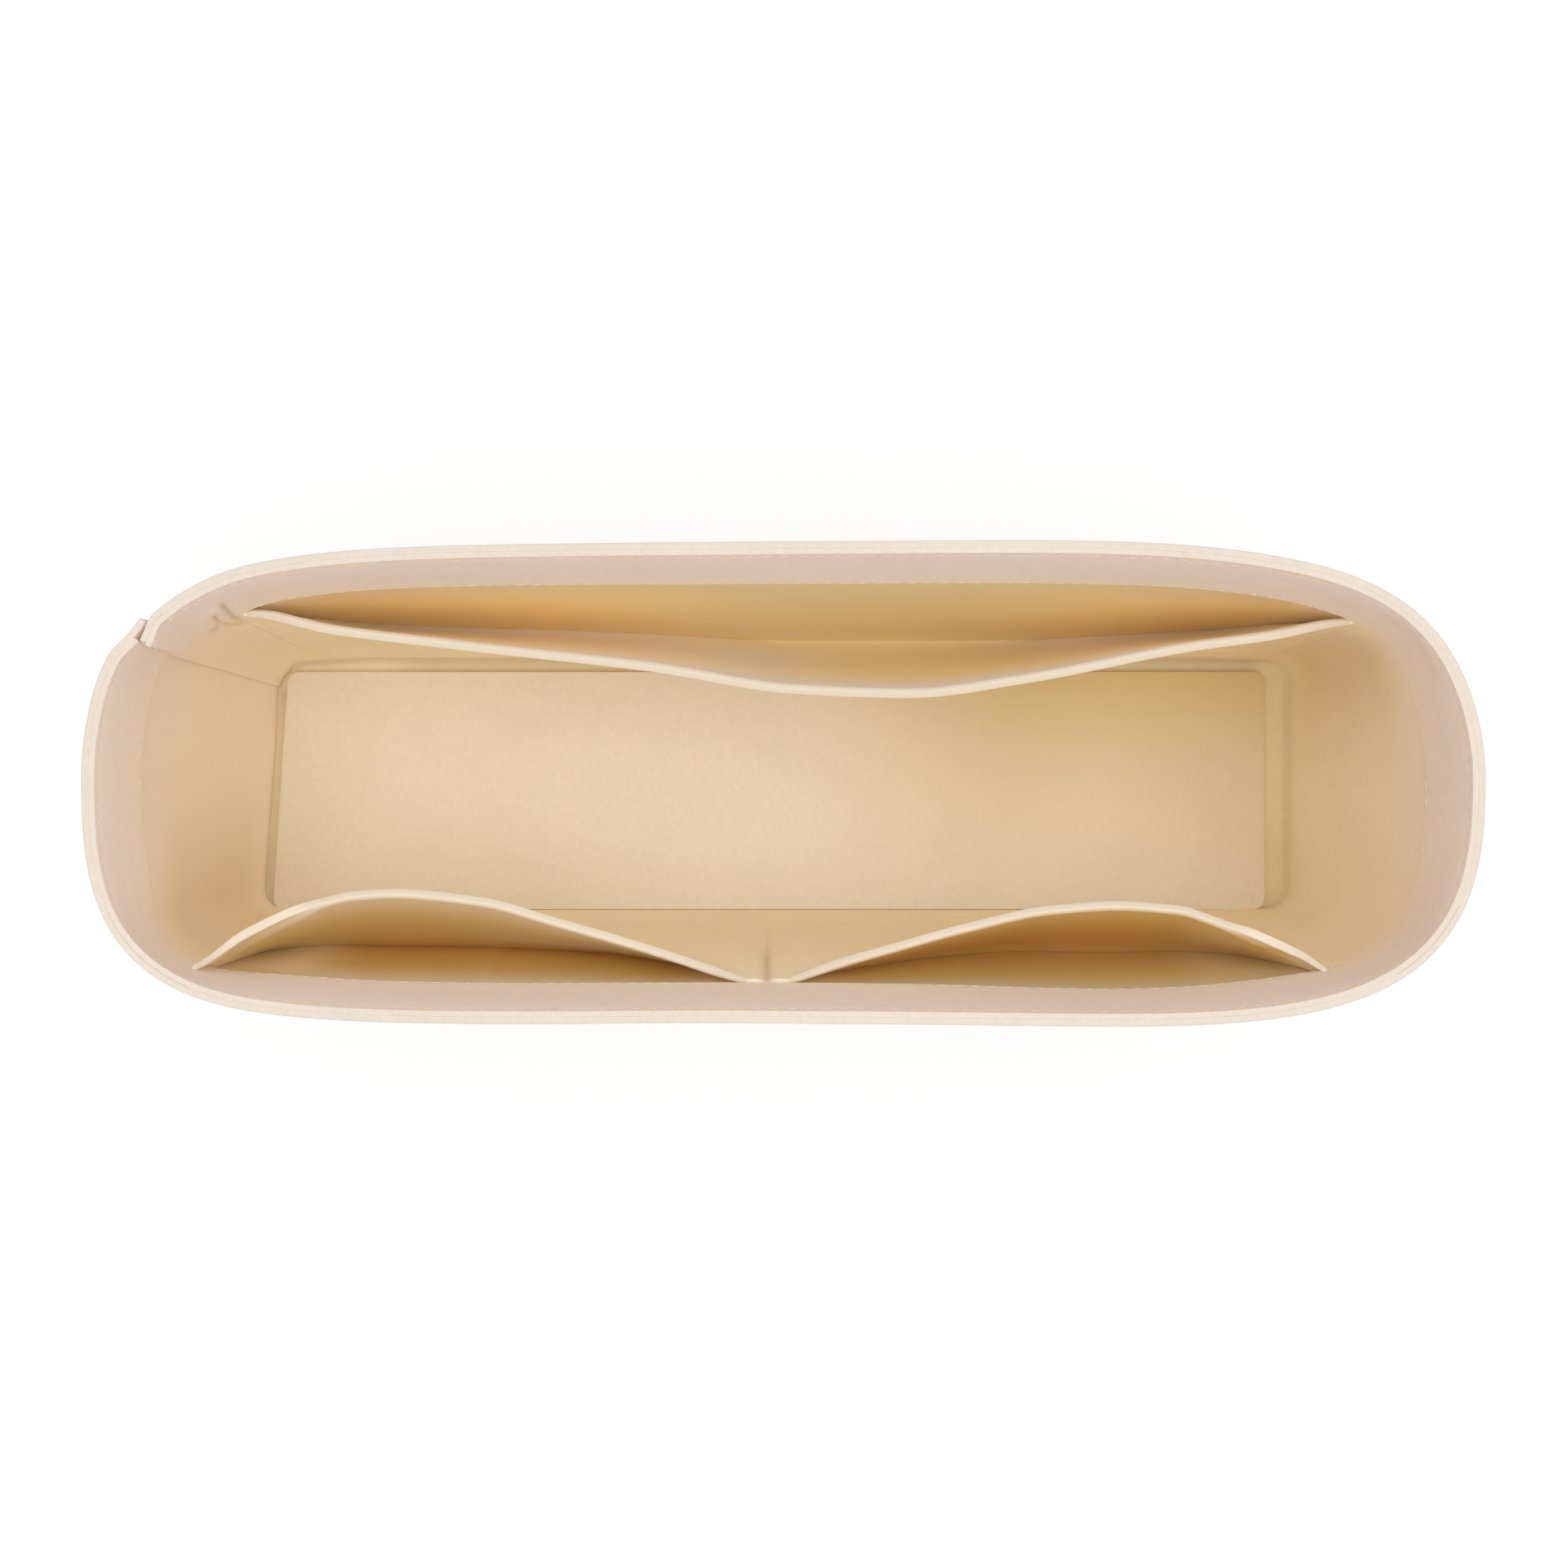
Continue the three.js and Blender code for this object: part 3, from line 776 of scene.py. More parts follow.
    def panel_press(self, side, place):
        """1 where a panel is sewn down beside its mouths, 0 in the mouths."""
        press = np.ones(np.shape(place))
        for first, last, *_ in self.mouths(side):
            from_end = (abs(last - first) / 2 - np.abs(place - (first + last) / 2)) * self.quarter
            press = press - smooth(from_end / self.pocket.press_run)
        return press

    def panel_thickness(self, side, place):
        thin = self.pocket.thin_tab * self.past_mouths(side, place)
        return self.felt.pocket * (1 - self.pocket.pressed * self.panel_press(side, place)) * (1 - thin)

    def past_mouths(self, side, place):
        """1 on a panel's sewn ends, 0 in its mouths and between them."""
        ends = [end for first, last, *_ in self.mouths(side) for end in (first, last)]
        return smooth(np.maximum(place - max(ends), min(ends) - place) * self.quarter / self.pocket.thin_run)

    def panel_lie(self, side, place, z_flat):
        """How far in a panel's outer face lies at a height of the flat panel."""
        z = self.panel_height(side, place, z_flat)
        drawn = self.rows_drawn(z, [self.seam_height(side) + self.stitch.pocket_row])
        press = self.panel_press(side, place)
        gap = press * self.felt.sewn_gap - (1 - press) * self.felt.nap
        if side == "front":
            drawn = drawn + self.stitch.middle_groove * self.in_middle_seam(place)
        over = smooth((z - self.pocket_top) / (3 * self.facing.to_pocket) + 0.5)
        sunk = self.pocket.sunk * self.past_mouths(side, place)
        under = gap + over * (self.felt.facing + self.felt.sewn_gap - sunk)
        puckered = self.pucker(place, z) if side == "rear" else 0
        return self.inner_inset(place) + under + puckered + self.panel_bow(side, place, z_flat) - drawn

    def in_middle_seam(self, place):
        """1 on the front's middle seam, fading out beside it."""
        from_seam = (place - self.at_front(self.pocket.front_seam)) * self.quarter
        return hump(from_seam, self.stitch.middle_reach)

    def panel_rise(self, side, place):
        """How far a panel's ends are sewn up over the facing."""
        pocket = self.pocket
        if side == "rear":
            return 0 * place
        from_left = (place - self.at_front(pocket.front_left)) * self.quarter
        from_right = (self.at_front(pocket.front_right) - place) * self.quarter
        left = pocket.front_left_rise * (1 - np.clip(from_left / pocket.rise_run, 0, 1)) ** 2
        return left + pocket.front_right_rise * (1 - np.clip(from_right / pocket.rise_run, 0, 1)) ** 2

    def panel_height(self, side, place, z):
        """The height that a level of the panel takes where its ends are sewn up."""
        stretch = 3 * self.pocket.front_left_rise
        return z + self.panel_rise(side, place) * np.clip(1 - (self.pocket_top - z) / stretch, 0, 1)

    def pocket_tone(self, side, place, z, face):
        """The painted light and shade inside the pockets, on the wall or on the panel's back, down to where
        the two part.
        """
        seam_height = self.seam_height(side)
        tone = with_alpha((0, 0, 0), 0 * place + 0 * z)
        for pocket, mouth in zip(POCKETS[side], self.mouths(side)):
            colours = getattr(self.colours, pocket)
            at_mouth, deep, in_ends = (
                np.array(getattr(colours, face + level)) for level in ("_mouth", "_deep", "_ends")
            )
            along = (place - mouth[0]) / (mouth[1] - mouth[0])
            open_share = through_shares(mouth[4], along)
            fold_height = seam_height + through_shares(mouth[5], along) * (self.pocket_top - seam_height)
            down = np.clip((self.pocket_top - z) / (self.pocket_top - fold_height), 0, 1)
            if face == "back":
                turned = rising(along, *BACK_TURNS[pocket])[..., None]
                deep = (1 - turned) * deep + turned * np.array(colours.back_right)
            upper = rising(down, *DEEP_TURN)[..., None]
            lower = rising(down, *FOLD_TURNS[face])[..., None]
            rgb = (1 - upper) * at_mouth + (upper - lower) * deep + lower * np.array(colours.fold)
            outer = {"rear": 1, "left": along < 0.5, "right": along > 0.5}[pocket]
            narrow = rising(open_share, *NARROW_TURN) * rising(down, *NARROW_DOWN_TURN)
            narrow = (np.maximum(narrow, rising(open_share, *SHUT_TURN)) * outer)[..., None]
            rgb = (1 - narrow) * rgb + narrow * in_ends
            tone = toned(tone, rgb, rising(open_share, *OPEN_TURN))
        under_facing = rising(z, self.pocket_top + TONE_END, self.pocket_top - TONE_END)
        above_seam = smooth((z - seam_height) / TONE_END)
        return with_alpha(tone[..., :3], tone[..., 3] * under_facing * above_seam)

    def crease_tone(self, place, z):
        """Painted shade in the creases beside the rear pocket's left end."""
        return with_alpha(self.colours.crease, CREASE_SHARE * np.clip(sum(self.creases(place, z)), 0, 1))

    def rear_run(self, place):
        """The run from the rear middle to the right, in millimetres."""
        return (REAR_MIDDLE - np.mod(place, QUARTERS)) * self.quarter / MM

    def creases(self, place, z):
        """How much a point lies in each crease, 1 on its line."""
        run = self.rear_run(place)
        for top_run, top, low_run, low in CREASES:
            part = (top * MM - z) / ((top - low) * MM)
            line = top_run + (low_run - top_run) * part
            yield faded_ends(part, CREASE_END_SHARE) * hump(run - line, CREASE_REACH)

    def pucker(self, place, z):
        """How far the felt stands up on both sides of the creases."""
        middle = sum(top_run + low_run for top_run, _, low_run, _ in CREASES) / 2 / len(CREASES)
        high = max(top for _, top, _, _ in CREASES) * MM
        low = min(bottom for _, _, _, bottom in CREASES) * MM
        part = (high - z) / (high - low)
        swell = hump(self.rear_run(place) - middle, PUCKER_REACH) * faded_ends(part, PUCKER_END_SHARE)
        return PUCKER * MM * swell * (1 - sum(self.creases(place, z)))

    # Painted light and shade on a panel's back, inside its pocket
    def panel_back_tone(self, side, place, z):
        return self.pocket_tone(side, place, z, "back")

    # The panel's side towards the room: painted shade in the corners, under the rear mouth's right half, in
    # the creases and in the front's middle seam, and the facing's tone on ends that lie over the facing
    def panel_front_tone(self, side, place, z):
        over_facing = smooth((self.panel_height(side, place, z) - self.pocket_top) / TONE_END)
        tone = with_alpha(self.colours.shaded, self.corner_shade(place, z))
        tone = toned(tone, self.colours.facing, OVER_FACING_SHARE * over_facing)
        if side == "rear":
            first, last, *_ = self.mouths(side)[0]
            along = (place - first) / (last - first)
            coming, going = REAR_SHADE_TURNS
            shade = rising(along, *coming) * (1 - rising(along, *going))
            shade = shade * (1 - smooth((self.pocket_top - z) / self.pocket.shade_reach))
            tone = toned(tone, self.colours.under_rear, REAR_SHADE_SHARE * shade)
            return laid_over(tone, self.crease_tone(place, z))
        low = rising(z - self.seam_height(side), *SEAM_TONE_TURN)
        return toned(tone, self.colours.crease, SEAM_SHARE * low * self.in_middle_seam(place))

    def panel_paleness(self, side, place, z):
        """How much of the cut edge's pale fibres shows near the mouths' edges."""
        in_mouth = 1 - self.panel_press(side, place)
        return in_mouth * (1 - smooth((self.pocket_top - z) / self.felt.pale_reach))

    def corner_shade(self, place, z):
        """How much of the soft shade in the tub's corners lies on the wall and the panels."""
        around = np.mod(place, QUARTERS)
        up = z / self.facing_low
        shade = sum(depth * hump(around - middle, reach) for middle, reach, depth in CORNER_SHADES)
        return shade * rising(up, *CORNER_SHADE_COMES) * rising(up, *CORNER_SHADE_GOES)

    def wall_tone(self, place, z):
        """The wall takes the facing's tone towards it, with painted light at the left end, painted light and
        shade inside the pockets and painted shade in the corners and creases.
        """
        around = np.mod(place, QUARTERS)
        near_facing = self.facing.shared_tone * (1 - smooth((self.facing_low - z) / self.facing.fade_down))
        tone = with_alpha(self.colours.left_wall, WALL_LEFT_SHARE * hump(around - LEFT_END, WALL_LEFT_REACH))
        tone = toned(tone, self.colours.facing, near_facing + 0 * place)
        rear = self.pocket_tone("rear", around, z, "wall")
        front = self.pocket_tone("front", around, z, "wall")
        inside = np.where((around < LEFT_END)[..., None], rear, front)
        tone = toned(tone, self.colours.shaded, self.corner_shade(place, z))
        return laid_over(laid_over(tone, inside), self.crease_tone(place, z))

    def facing_tone(self, place, z):
        """The facing takes the wall's tone towards its lower edge, with painted light at the left end and
        painted shade of puckers and creases.
        """
        around = np.mod(place, QUARTERS)
        near_wall = (1 - self.facing.shared_tone) * (1 - smooth((z - self.facing_low) / self.facing.fade_up))
        tone = with_alpha(self.colours.left_facing, hump(around - LEFT_END, FACING_LEFT_REACH))
        tone = toned(tone, self.colours.wall, near_wall + 0 * place)
        # Painted shade of small puckers under the rim, which the facing's shape does not have
        marks = 0 * place
        for middle, height, reach, depth in PAINTED_PUCKER_SHADES:
            away = np.hypot((around - middle) * self.quarter / MM, z / MM - height)
            marks = marks + depth * hump(away, reach)
        tone = toned(tone, self.colours.crease, np.clip(marks, 0, 1))
        return laid_over(tone, self.crease_tone(place, z))

    def panel_outside(self, side, place, z):
        return self.inset_point(place, self.panel_height(side, place, z), self.panel_lie(side, place, z))

    def panel_inside(self, side, place, z):
        lie = self.panel_lie(side, place, z) + self.panel_thickness(side, place)
        return self.inset_point(place, self.panel_height(side, place, z), lie)


# Making pieces


def clear_selection():
    bpy.ops.object.select_all(action="DESELECT")


def make_active(piece):
    clear_selection()
    piece.select_set(True)
    bpy.context.view_layer.objects.active = piece


def edit_all():
    """Opens the active piece with all its points selected."""
    bpy.ops.object.mode_set(mode="EDIT")
    bpy.ops.mesh.select_all(action="SELECT")


def apply_modifiers(piece):
    make_active(piece)
    for modifier in list(piece.modifiers):
        bpy.ops.object.modifier_apply(modifier=modifier.name)


def link(name, mesh):
    piece = bpy.data.objects.new(name, mesh)
    bpy.context.scene.collection.objects.link(piece)
    return piece


def divided(first, last, step, rows=(), reach=0):
    """Values from first to last about a step apart, closer together round the rows."""
    count = max(int(round((last - first) / step)), 1)
    values = list(np.linspace(first, last, count + 1))
    near = [row + reach * part for row in rows for part in ROW_LEVEL_SHARES]
    near = [value for value in near if first + reach / 2 < value < last - reach / 2]
    room = reach * ROW_ROOM_SHARE
    kept = [value for value in values if all(abs(value - other) > room for other in near)]
    return np.array(sorted({values[0], values[-1], *kept, *near}))


def grid_mesh(name, points, run, rise):
    """A mesh over a grid of points, with the felt's flat measures in metres as its map."""
    columns, rows = points.shape[:2]
    index = np.arange(columns * rows).reshape(columns, rows)
    corners = (index[:-1, :-1], index[1:, :-1], index[1:, 1:], index[:-1, 1:])
    faces = np.stack(corners, axis=-1).reshape(-1, 4)
    mesh = bpy.data.meshes.new(name)
    mesh.from_pydata(points.reshape(-1, 3).tolist(), [], faces.tolist())
    flat = mesh.uv_layers.new(name="flat")
    run, rise = np.broadcast_arrays(run, rise)
    measures = np.stack([run, rise], axis=-1).reshape(-1, 2)
    flat.data.foreach_set("uv", measures[faces.ravel()].ravel())
    return mesh


def edge_weights(piece, flush):
    """Marks the felt's cut corners for rounding, but not those of its top that lie flush."""
    mesh = piece.data
    top = max(vertex.co.z for vertex in mesh.vertices)
    slots = [set() for _ in mesh.edges]
    normals = [[] for _ in mesh.edges]
    for polygon in mesh.polygons:
        for loop in polygon.loop_indices:
            edge = mesh.loops[loop].edge_index
            slots[edge].add(polygon.material_index)
            normals[edge].append(polygon.normal.copy())
    weights = mesh.attributes.new("bevel_weight_edge", "FLOAT", "EDGE")
    thin = {
        vertex.index for vertex in mesh.vertices if any(part.weight < THIN_SHARE for part in vertex.groups)
    }
    for edge in mesh.edges:
        if thin.intersection(edge.vertices):
            continue
        sides = normals[edge.index]
        if len(sides) != 2 or sides[0].angle(sides[1], 0) < SHARP_ANGLE:
            continue
        at_top = all(mesh.vertices[vertex].co.z > top - FLUSH_ROOM for vertex in edge.vertices)
        if not (at_top and flush in slots[edge.index]):
            weights.data[edge.index].value = 1


def thicken(piece, thickness, rounding, felts_used, thickness_shares=None, flush=None):
    """Gives a felt its thickness on the inner side and rounds its cut edges.

    flush is the material slot of the face that lies against the next layer at the rim.
    """
    for felt in felts_used:
        piece.data.materials.append(felt)
    solidify = piece.modifiers.new("thickness", "SOLIDIFY")
    solidify.thickness = thickness
    solidify.offset = -1
    solidify.use_even_offset = True
    solidify.material_offset_rim = 1
    solidify.material_offset = 2
    if thickness_shares is not None:
        group = piece.vertex_groups.new(name="thickness")
        for index, part in enumerate(thickness_shares):
            group.add([index], float(part), "REPLACE")
        solidify.vertex_group = group.name
    apply_modifiers(piece)
    edge_weights(piece, flush)
    bevel = piece.modifiers.new("rounded edges", "BEVEL")
    bevel.width = rounding
    bevel.segments = 3
    bevel.limit_method = "WEIGHT"
    bevel.material = 1
    apply_modifiers(piece)
    bpy.ops.object.shade_smooth_by_angle(angle=SHARP_ANGLE)


def settle(piece, body, node=None):
    """Puts a finished piece on its body and hides the packed part that it stands for, if any."""
    clear_selection()
    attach(piece, body)
    if node:
        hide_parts(node)
    return piece


def wall_layer(name, surface, places, levels, quarter, **measures):
    """A layer of felt on the wall. Each measure is kept at its points: a tone or a plain value."""
    place, z = np.meshgrid(places, levels, indexing="ij")
    mesh = grid_mesh(name, surface(place, z), place * quarter, z)
    for measure, values_at in measures.items():
        keep(mesh, measure, values_at(place, z), place.size)
    return link(name, mesh)


def keep(mesh, measure, values, count):
    """Keeps a tone or a plain value at each of a mesh's points."""
    toned = values.size > count
    kept = mesh.attributes.new(measure, "FLOAT_COLOR" if toned else "FLOAT", "POINT")
    kept.data.foreach_set("color" if toned else "value", values.ravel())


def finer(places, middle, half_run, step):
    """Adds columns about a middle, which is counted once round or twice."""
    for round_at in (middle, middle + QUARTERS):
        first, last = round_at - half_run, round_at + half_run
        if places[0] < first and last < places[-1]:
            kept = places[(places < first) | (places > last)]
            places = np.sort(np.concatenate([kept, np.arange(first + step / 2, last, step)]))
    return places


def plain_edges(piece, pale_at):
    """Cut edges show the felt of the room's side, but the pale fibres where pale_at(run, height) says so."""
    flat = piece.data.uv_layers["flat"].data
    for polygon in piece.data.polygons:
        run, height = np.mean([tuple(flat[loop].uv) for loop in polygon.loop_indices], axis=0)
        if polygon.material_index == 1 and not pale_at(run, height):
            polygon.material_index = 2


# Materials


class NodeTree:
    """The nodes of a material or a world. An input takes a value or another node's output."""

    def __init__(self, owner):
        owner.use_nodes = True
        self.nodes, self.links = owner.node_tree.nodes, owner.node_tree.links

    def fill(self, node, inputs):
        for socket, value in inputs.items():
            if isinstance(value, bpy.types.NodeSocket):
                self.links.new(value, node.inputs[socket])
            else:
                node.inputs[socket].default_value = value

    def add(self, kind, inputs=None, **options):
        node = self.nodes.new("ShaderNode" + kind)
        for option, value in options.items():
            setattr(node, option, value)
        self.fill(node, inputs or {})
        return node

    def place(self, source, turn=0, scale=(1, 1, 1)):
        place = self.add("TexCoord").outputs[source]
        inputs = {"Vector": place, "Rotation": (0, 0, turn), "Scale": scale}
        return self.add("Mapping", inputs).outputs["Vector"]

    def noise(self, place, scale, detail=2, roughness=0.5):
        inputs = {"Vector": place, "Scale": scale, "Detail": detail, "Roughness": roughness}
        return self.add("TexNoise", inputs).outputs["Fac"]

    def combine(self, operation, first, second):
        return self.add("Math", {0: first, 1: second}, operation=operation).outputs["Value"]

    def ranged(self, value, low, high, to_low, to_high):
        inputs = {"Value": value, "From Min": low, "From Max": high, "To Min": to_low, "To Max": to_high}
        return self.add("MapRange", inputs).outputs["Result"]

    def ramp(self, value, low, high, ends=(0, 1)):
        node = self.add("ValToRGB", {"Fac": value})
        for element, end, end_colour in zip(node.color_ramp.elements, ends, (low, high)):
            element.position = end
            element.color = end_colour
        return node.outputs["Color"]

    def mixed(self, weight, first, second):
        """One colour laid over another by a weight."""
        return self.add("Mix", {"Factor": weight, 6: first, 7: second}, data_type="RGBA").outputs[2]

    def bump(self, height, strength, distance):
        inputs = {"Height": height, "Strength": strength, "Distance": distance}
        return self.add("Bump", inputs).outputs["Normal"]


def new_material(name):
    material = bpy.data.materials.new(name)
    tree = NodeTree(material)
    return material, tree, tree.nodes["Principled BSDF"]


def tinted(colour_value, factor):
    return tuple(min(channel * factor, 1) for channel in colour_value) + (1,)


# The felt's fibres, its cloudy patches and its lumps: scales per metre, between which values of
# their noise they show, and how far from the felt's even tone each one goes
FIBRE_SCALES = (5200, 520, 2600)
FIBRE_TURNS = (0.35, 1.3, 2.2, 2.9)
CLOUD_SCALE = 45
LUMP_SCALE = 620
FIBRE_RANGE = (0.45, 0.8)
PATCH_RANGE = (0.3, 0.7)
FIBRE_TONE = 0.32
CLOUD_TONE = 0.16
LUMP_TONE = 0.2
LUMP_HEIGHT = 1.4


def fibres(tree, source):
    """A mat of short fibres: streaks that lie in several directions over one another."""
    layers = [tree.noise(tree.place(source, turn, FIBRE_SCALES), 1, detail=1) for turn in FIBRE_TURNS]
    first = tree.combine("MAXIMUM", layers[0], layers[1])
    second = tree.combine("MAXIMUM", layers[2], layers[3])
    return tree.combine("MAXIMUM", first, second)


def felt_material(name, felt_colour, pale_colour, tone_measure="", source="UV", fuzz=1.0):
    """Pressed felt: a matt mat of fibres with faint cloudy patches, paler at its cut edges."""
    material, tree, shader = new_material(name)
    mat = fibres(tree, source)
    even = tree.place(source)
    clouds = tree.noise(even, CLOUD_SCALE, detail=3, roughness=0.6)
    lumps = tree.noise(even, LUMP_SCALE, detail=3, roughness=0.65)
    mat_tone = tree.ranged(mat, *FIBRE_RANGE, -FIBRE_TONE, FIBRE_TONE)
    cloud_tone = tree.ranged(clouds, *PATCH_RANGE, -CLOUD_TONE, CLOUD_TONE)
    lump_tone = tree.ranged(lumps, *PATCH_RANGE, -LUMP_TONE, LUMP_TONE)
    tone = tree.combine("ADD", tree.combine("ADD", mat_tone, cloud_tone), lump_tone)
    dark, light = tinted(felt_colour, 0.94), tinted(felt_colour, 1.06)
    shown = tree.ramp(tree.ranged(tone, -0.5, 0.5, 0, 1), dark, light)
    if tone_measure:
        felt_tone = tree.add("Attribute", attribute_name=tone_measure).outputs
        shown = tree.mixed(felt_tone["Alpha"], shown, felt_tone["Color"])
    paleness = tree.add("Attribute", attribute_name="paleness").outputs["Fac"]
    height = tree.combine("ADD", mat, tree.combine("MULTIPLY", lumps, LUMP_HEIGHT))
    tree.fill(shader, {
        "Base Color": tree.mixed(paleness, shown, tinted(pale_colour, 1)),
        "Normal": tree.bump(height, 0.25 * fuzz, 0.12 * MM),
        "Roughness": 0.95,
        "Specular IOR Level": 0.15,
        "Sheen Weight": 0.06,
        "Sheen Roughness": 0.6,
        "Sheen Tint": tinted(felt_colour, 1.1),
    })
    return material


def thread_material(name, thread_colour):
    """Spun sewing thread: fine slanted plies with a low lustre."""
    material, tree, shader = new_material(name)
    plies = tree.noise(tree.place("Object", 0.6), 5200)
    dark, light = tinted(thread_colour, 0.86), tinted(thread_colour, 1.05)
    tree.fill(shader, {
        "Base Color": tree.ramp(plies, dark, light, (0.35, 0.65)),
        "Normal": tree.bump(plies, 0.4, 0.05 * MM),
        "Roughness": 0.6,
        "Sheen Weight": 0.1,
    })
    return material


def core_material(name, core_colour):
    """The board's stiff sheet: pressed board with a fine grain."""
    material, tree, shader = new_material(name)
    grain = tree.noise(tree.place("Object", scale=(1, 6, 1)), 400, detail=4, roughness=0.7)
    tree.fill(shader, {
        "Base Color": tree.ramp(grain, tinted(core_colour, 0.85), tinted(core_colour, 1.1)),
        "Normal": tree.bump(grain, 0.3, 0.1 * MM),
        "Roughness": 0.7,
    })
    return material


def material_once(name, make, *values):
    return bpy.data.materials.get(name) or make(name, *values)


def felts(settings, kind, outer="", inner="", pale_edge=True, outside=None):
    """The felt of the outer face, the cut edge and the inner face; outer and inner name their tones."""
    colours = settings.colour
    edge_kind = "mouth_edge" if kind == "pocket" else "cut_edge"
    cut_edge = tuple(getattr(colours, edge_kind))
    outer_felt, inner_felt = (
        material_once(
            "pressed_" + of_kind + "_felt_" + (tone or "plain"), felt_material,
            tuple(getattr(colours, of_kind)), cut_edge, tone,
        )
        for of_kind, tone in ((outside or kind, outer), (kind, inner))
    )
    edge = material_once("pale_" + edge_kind, felt_material, cut_edge, cut_edge, "", "Object", 1.5)
    return outer_felt, edge if pale_edge else outer_felt, inner_felt


# Stitches


def make_stitch(settings):
    """One stitch, lying along X with its ends dipping into the felt."""
    stitch = settings.stitch
    clear_selection()
    bpy.ops.mesh.primitive_uv_sphere_add(segments=6, ring_count=7, radius=0.5)
    model = bpy.context.object
    edit_all()
    bpy.ops.transform.rotate(value=math.pi / 2, orient_axis="Y", center_override=(0, 0, 0))
    bpy.ops.transform.resize(value=(stitch.stitch, stitch.thread, stitch.thread), center_override=(0, 0, 0))
    bpy.ops.object.mode_set(mode="OBJECT")
    points = np.array([vertex.co for vertex in model.data.vertices])
    ends = (2 * points[:, 0] / stitch.stitch) ** 2
    points[:, 2] -= stitch.thread * STITCH_DIP_SHARE * ends * ends
    faces = [list(polygon.vertices) for polygon in model.data.polygons]
    bpy.data.objects.remove(model)
    return points, faces


def along_path(run, values, at):
    """What a path's values come to at a run along it."""
    return Vector([np.interp(at, run, values[:, axis]) for axis in range(3)])


def sew(name, paths, settings, model):
    """Stitches along paths. A path gives its points and the directions off the felt there."""
    stitch = settings.stitch
    half = stitch.stitch / 2
    shape_points, shape_faces = model
    vertices = []
    faces = []
    for points, off in paths:
        steps = np.linalg.norm(np.diff(points, axis=0), axis=1)
        run = np.concatenate([[0], np.cumsum(steps)])
        count = int((run[-1] - stitch.stitch) / stitch.pitch)
        start = (run[-1] - count * stitch.pitch) / 2
        for index in range(count + 1):
            middle = start + index * stitch.pitch
            along = along_path(run, points, middle + half) - along_path(run, points, middle - half)
            if along.length < half:
                continue
            along.normalize()
            up = along_path(run, off, middle)
            up = (up - up.dot(along) * along).normalized()
            turn = np.array([along, up.cross(along), up])
            first = len(vertices)
            vertices.extend((shape_points @ turn + np.array(along_path(run, points, middle))).tolist())
            faces.extend([first + corner for corner in face] for face in shape_faces)
    mesh = bpy.data.meshes.new(name)
    mesh.from_pydata(vertices, [], faces)
    piece = link(name, mesh)
    mesh.materials.append(material_once("sewing_thread", thread_material, tuple(settings.colour.thread)))
    make_active(piece)
    bpy.ops.object.shade_smooth()
    return piece


def seam_path(surface, quarter, first, last, outward):
    """A path over a surface from one (place, height) to another, and the direction off the felt."""
    run = math.hypot((last[0] - first[0]) * quarter, last[1] - first[1])
    part = np.linspace(0, 1, max(int(run / PATH_STEP), 2) + 1)
    place = first[0] + (last[0] - first[0]) * part
    z = first[1] + (last[1] - first[1]) * part
    along = surface(place + NUDGE / quarter, z) - surface(place - NUDGE / quarter, z)
    up = surface(place, z + NUDGE) - surface(place, z - NUDGE)
    off = np.cross(along, up)
    off = off / np.linalg.norm(off, axis=1, keepdims=True)
    return surface(place, z), off if outward else -off


# Operators


class InsertOperator(bpy.types.Operator):
    """Shared by the operators that build the insert"""

    bl_options = {"REGISTER", "UNDO"}

    def shape(self, context):
        settings = context.scene.handbag_insert
        return settings, TubShape(settings)


class MESH_OT_insert_wall(InsertOperator):
    """Add the wall: one strip of stiff felt, lapped at the rear left corner"""

    bl_idname = "mesh.insert_wall"
    bl_label = "Wall Strip"

    def execute(self, context):
        settings, shape = self.shape(context)
        felt = settings.felt
        step = felt.step / shape.quarter
        places = divided(shape.lap_start, shape.lap_end + QUARTERS, step)
        levels = divided(0, shape.tub.height, felt.rise, shape.wall_rows(), shape.stitch.groove_reach)
        places = finer(places, shape.crease_place, shape.crease_half, step / 4)
        # The wall's side towards the room keeps its tone and its painted light and shade at its points
        piece = wall_layer(
            "wall_felt_strip", shape.wall_outside, places, levels, shape.quarter,
            room_tone=shape.wall_tone,
        )
        felts_used = felts(settings, "wall", inner="room_tone", outside="outside")
        thickness = shape.strip_share(*np.meshgrid(places, levels, indexing="ij")).ravel()
        thicken(piece, felt.wall, felt.rim_edge, felts_used, thickness, flush=2)
        settle(piece, "tub", "wall_strip")
        return {"FINISHED"}


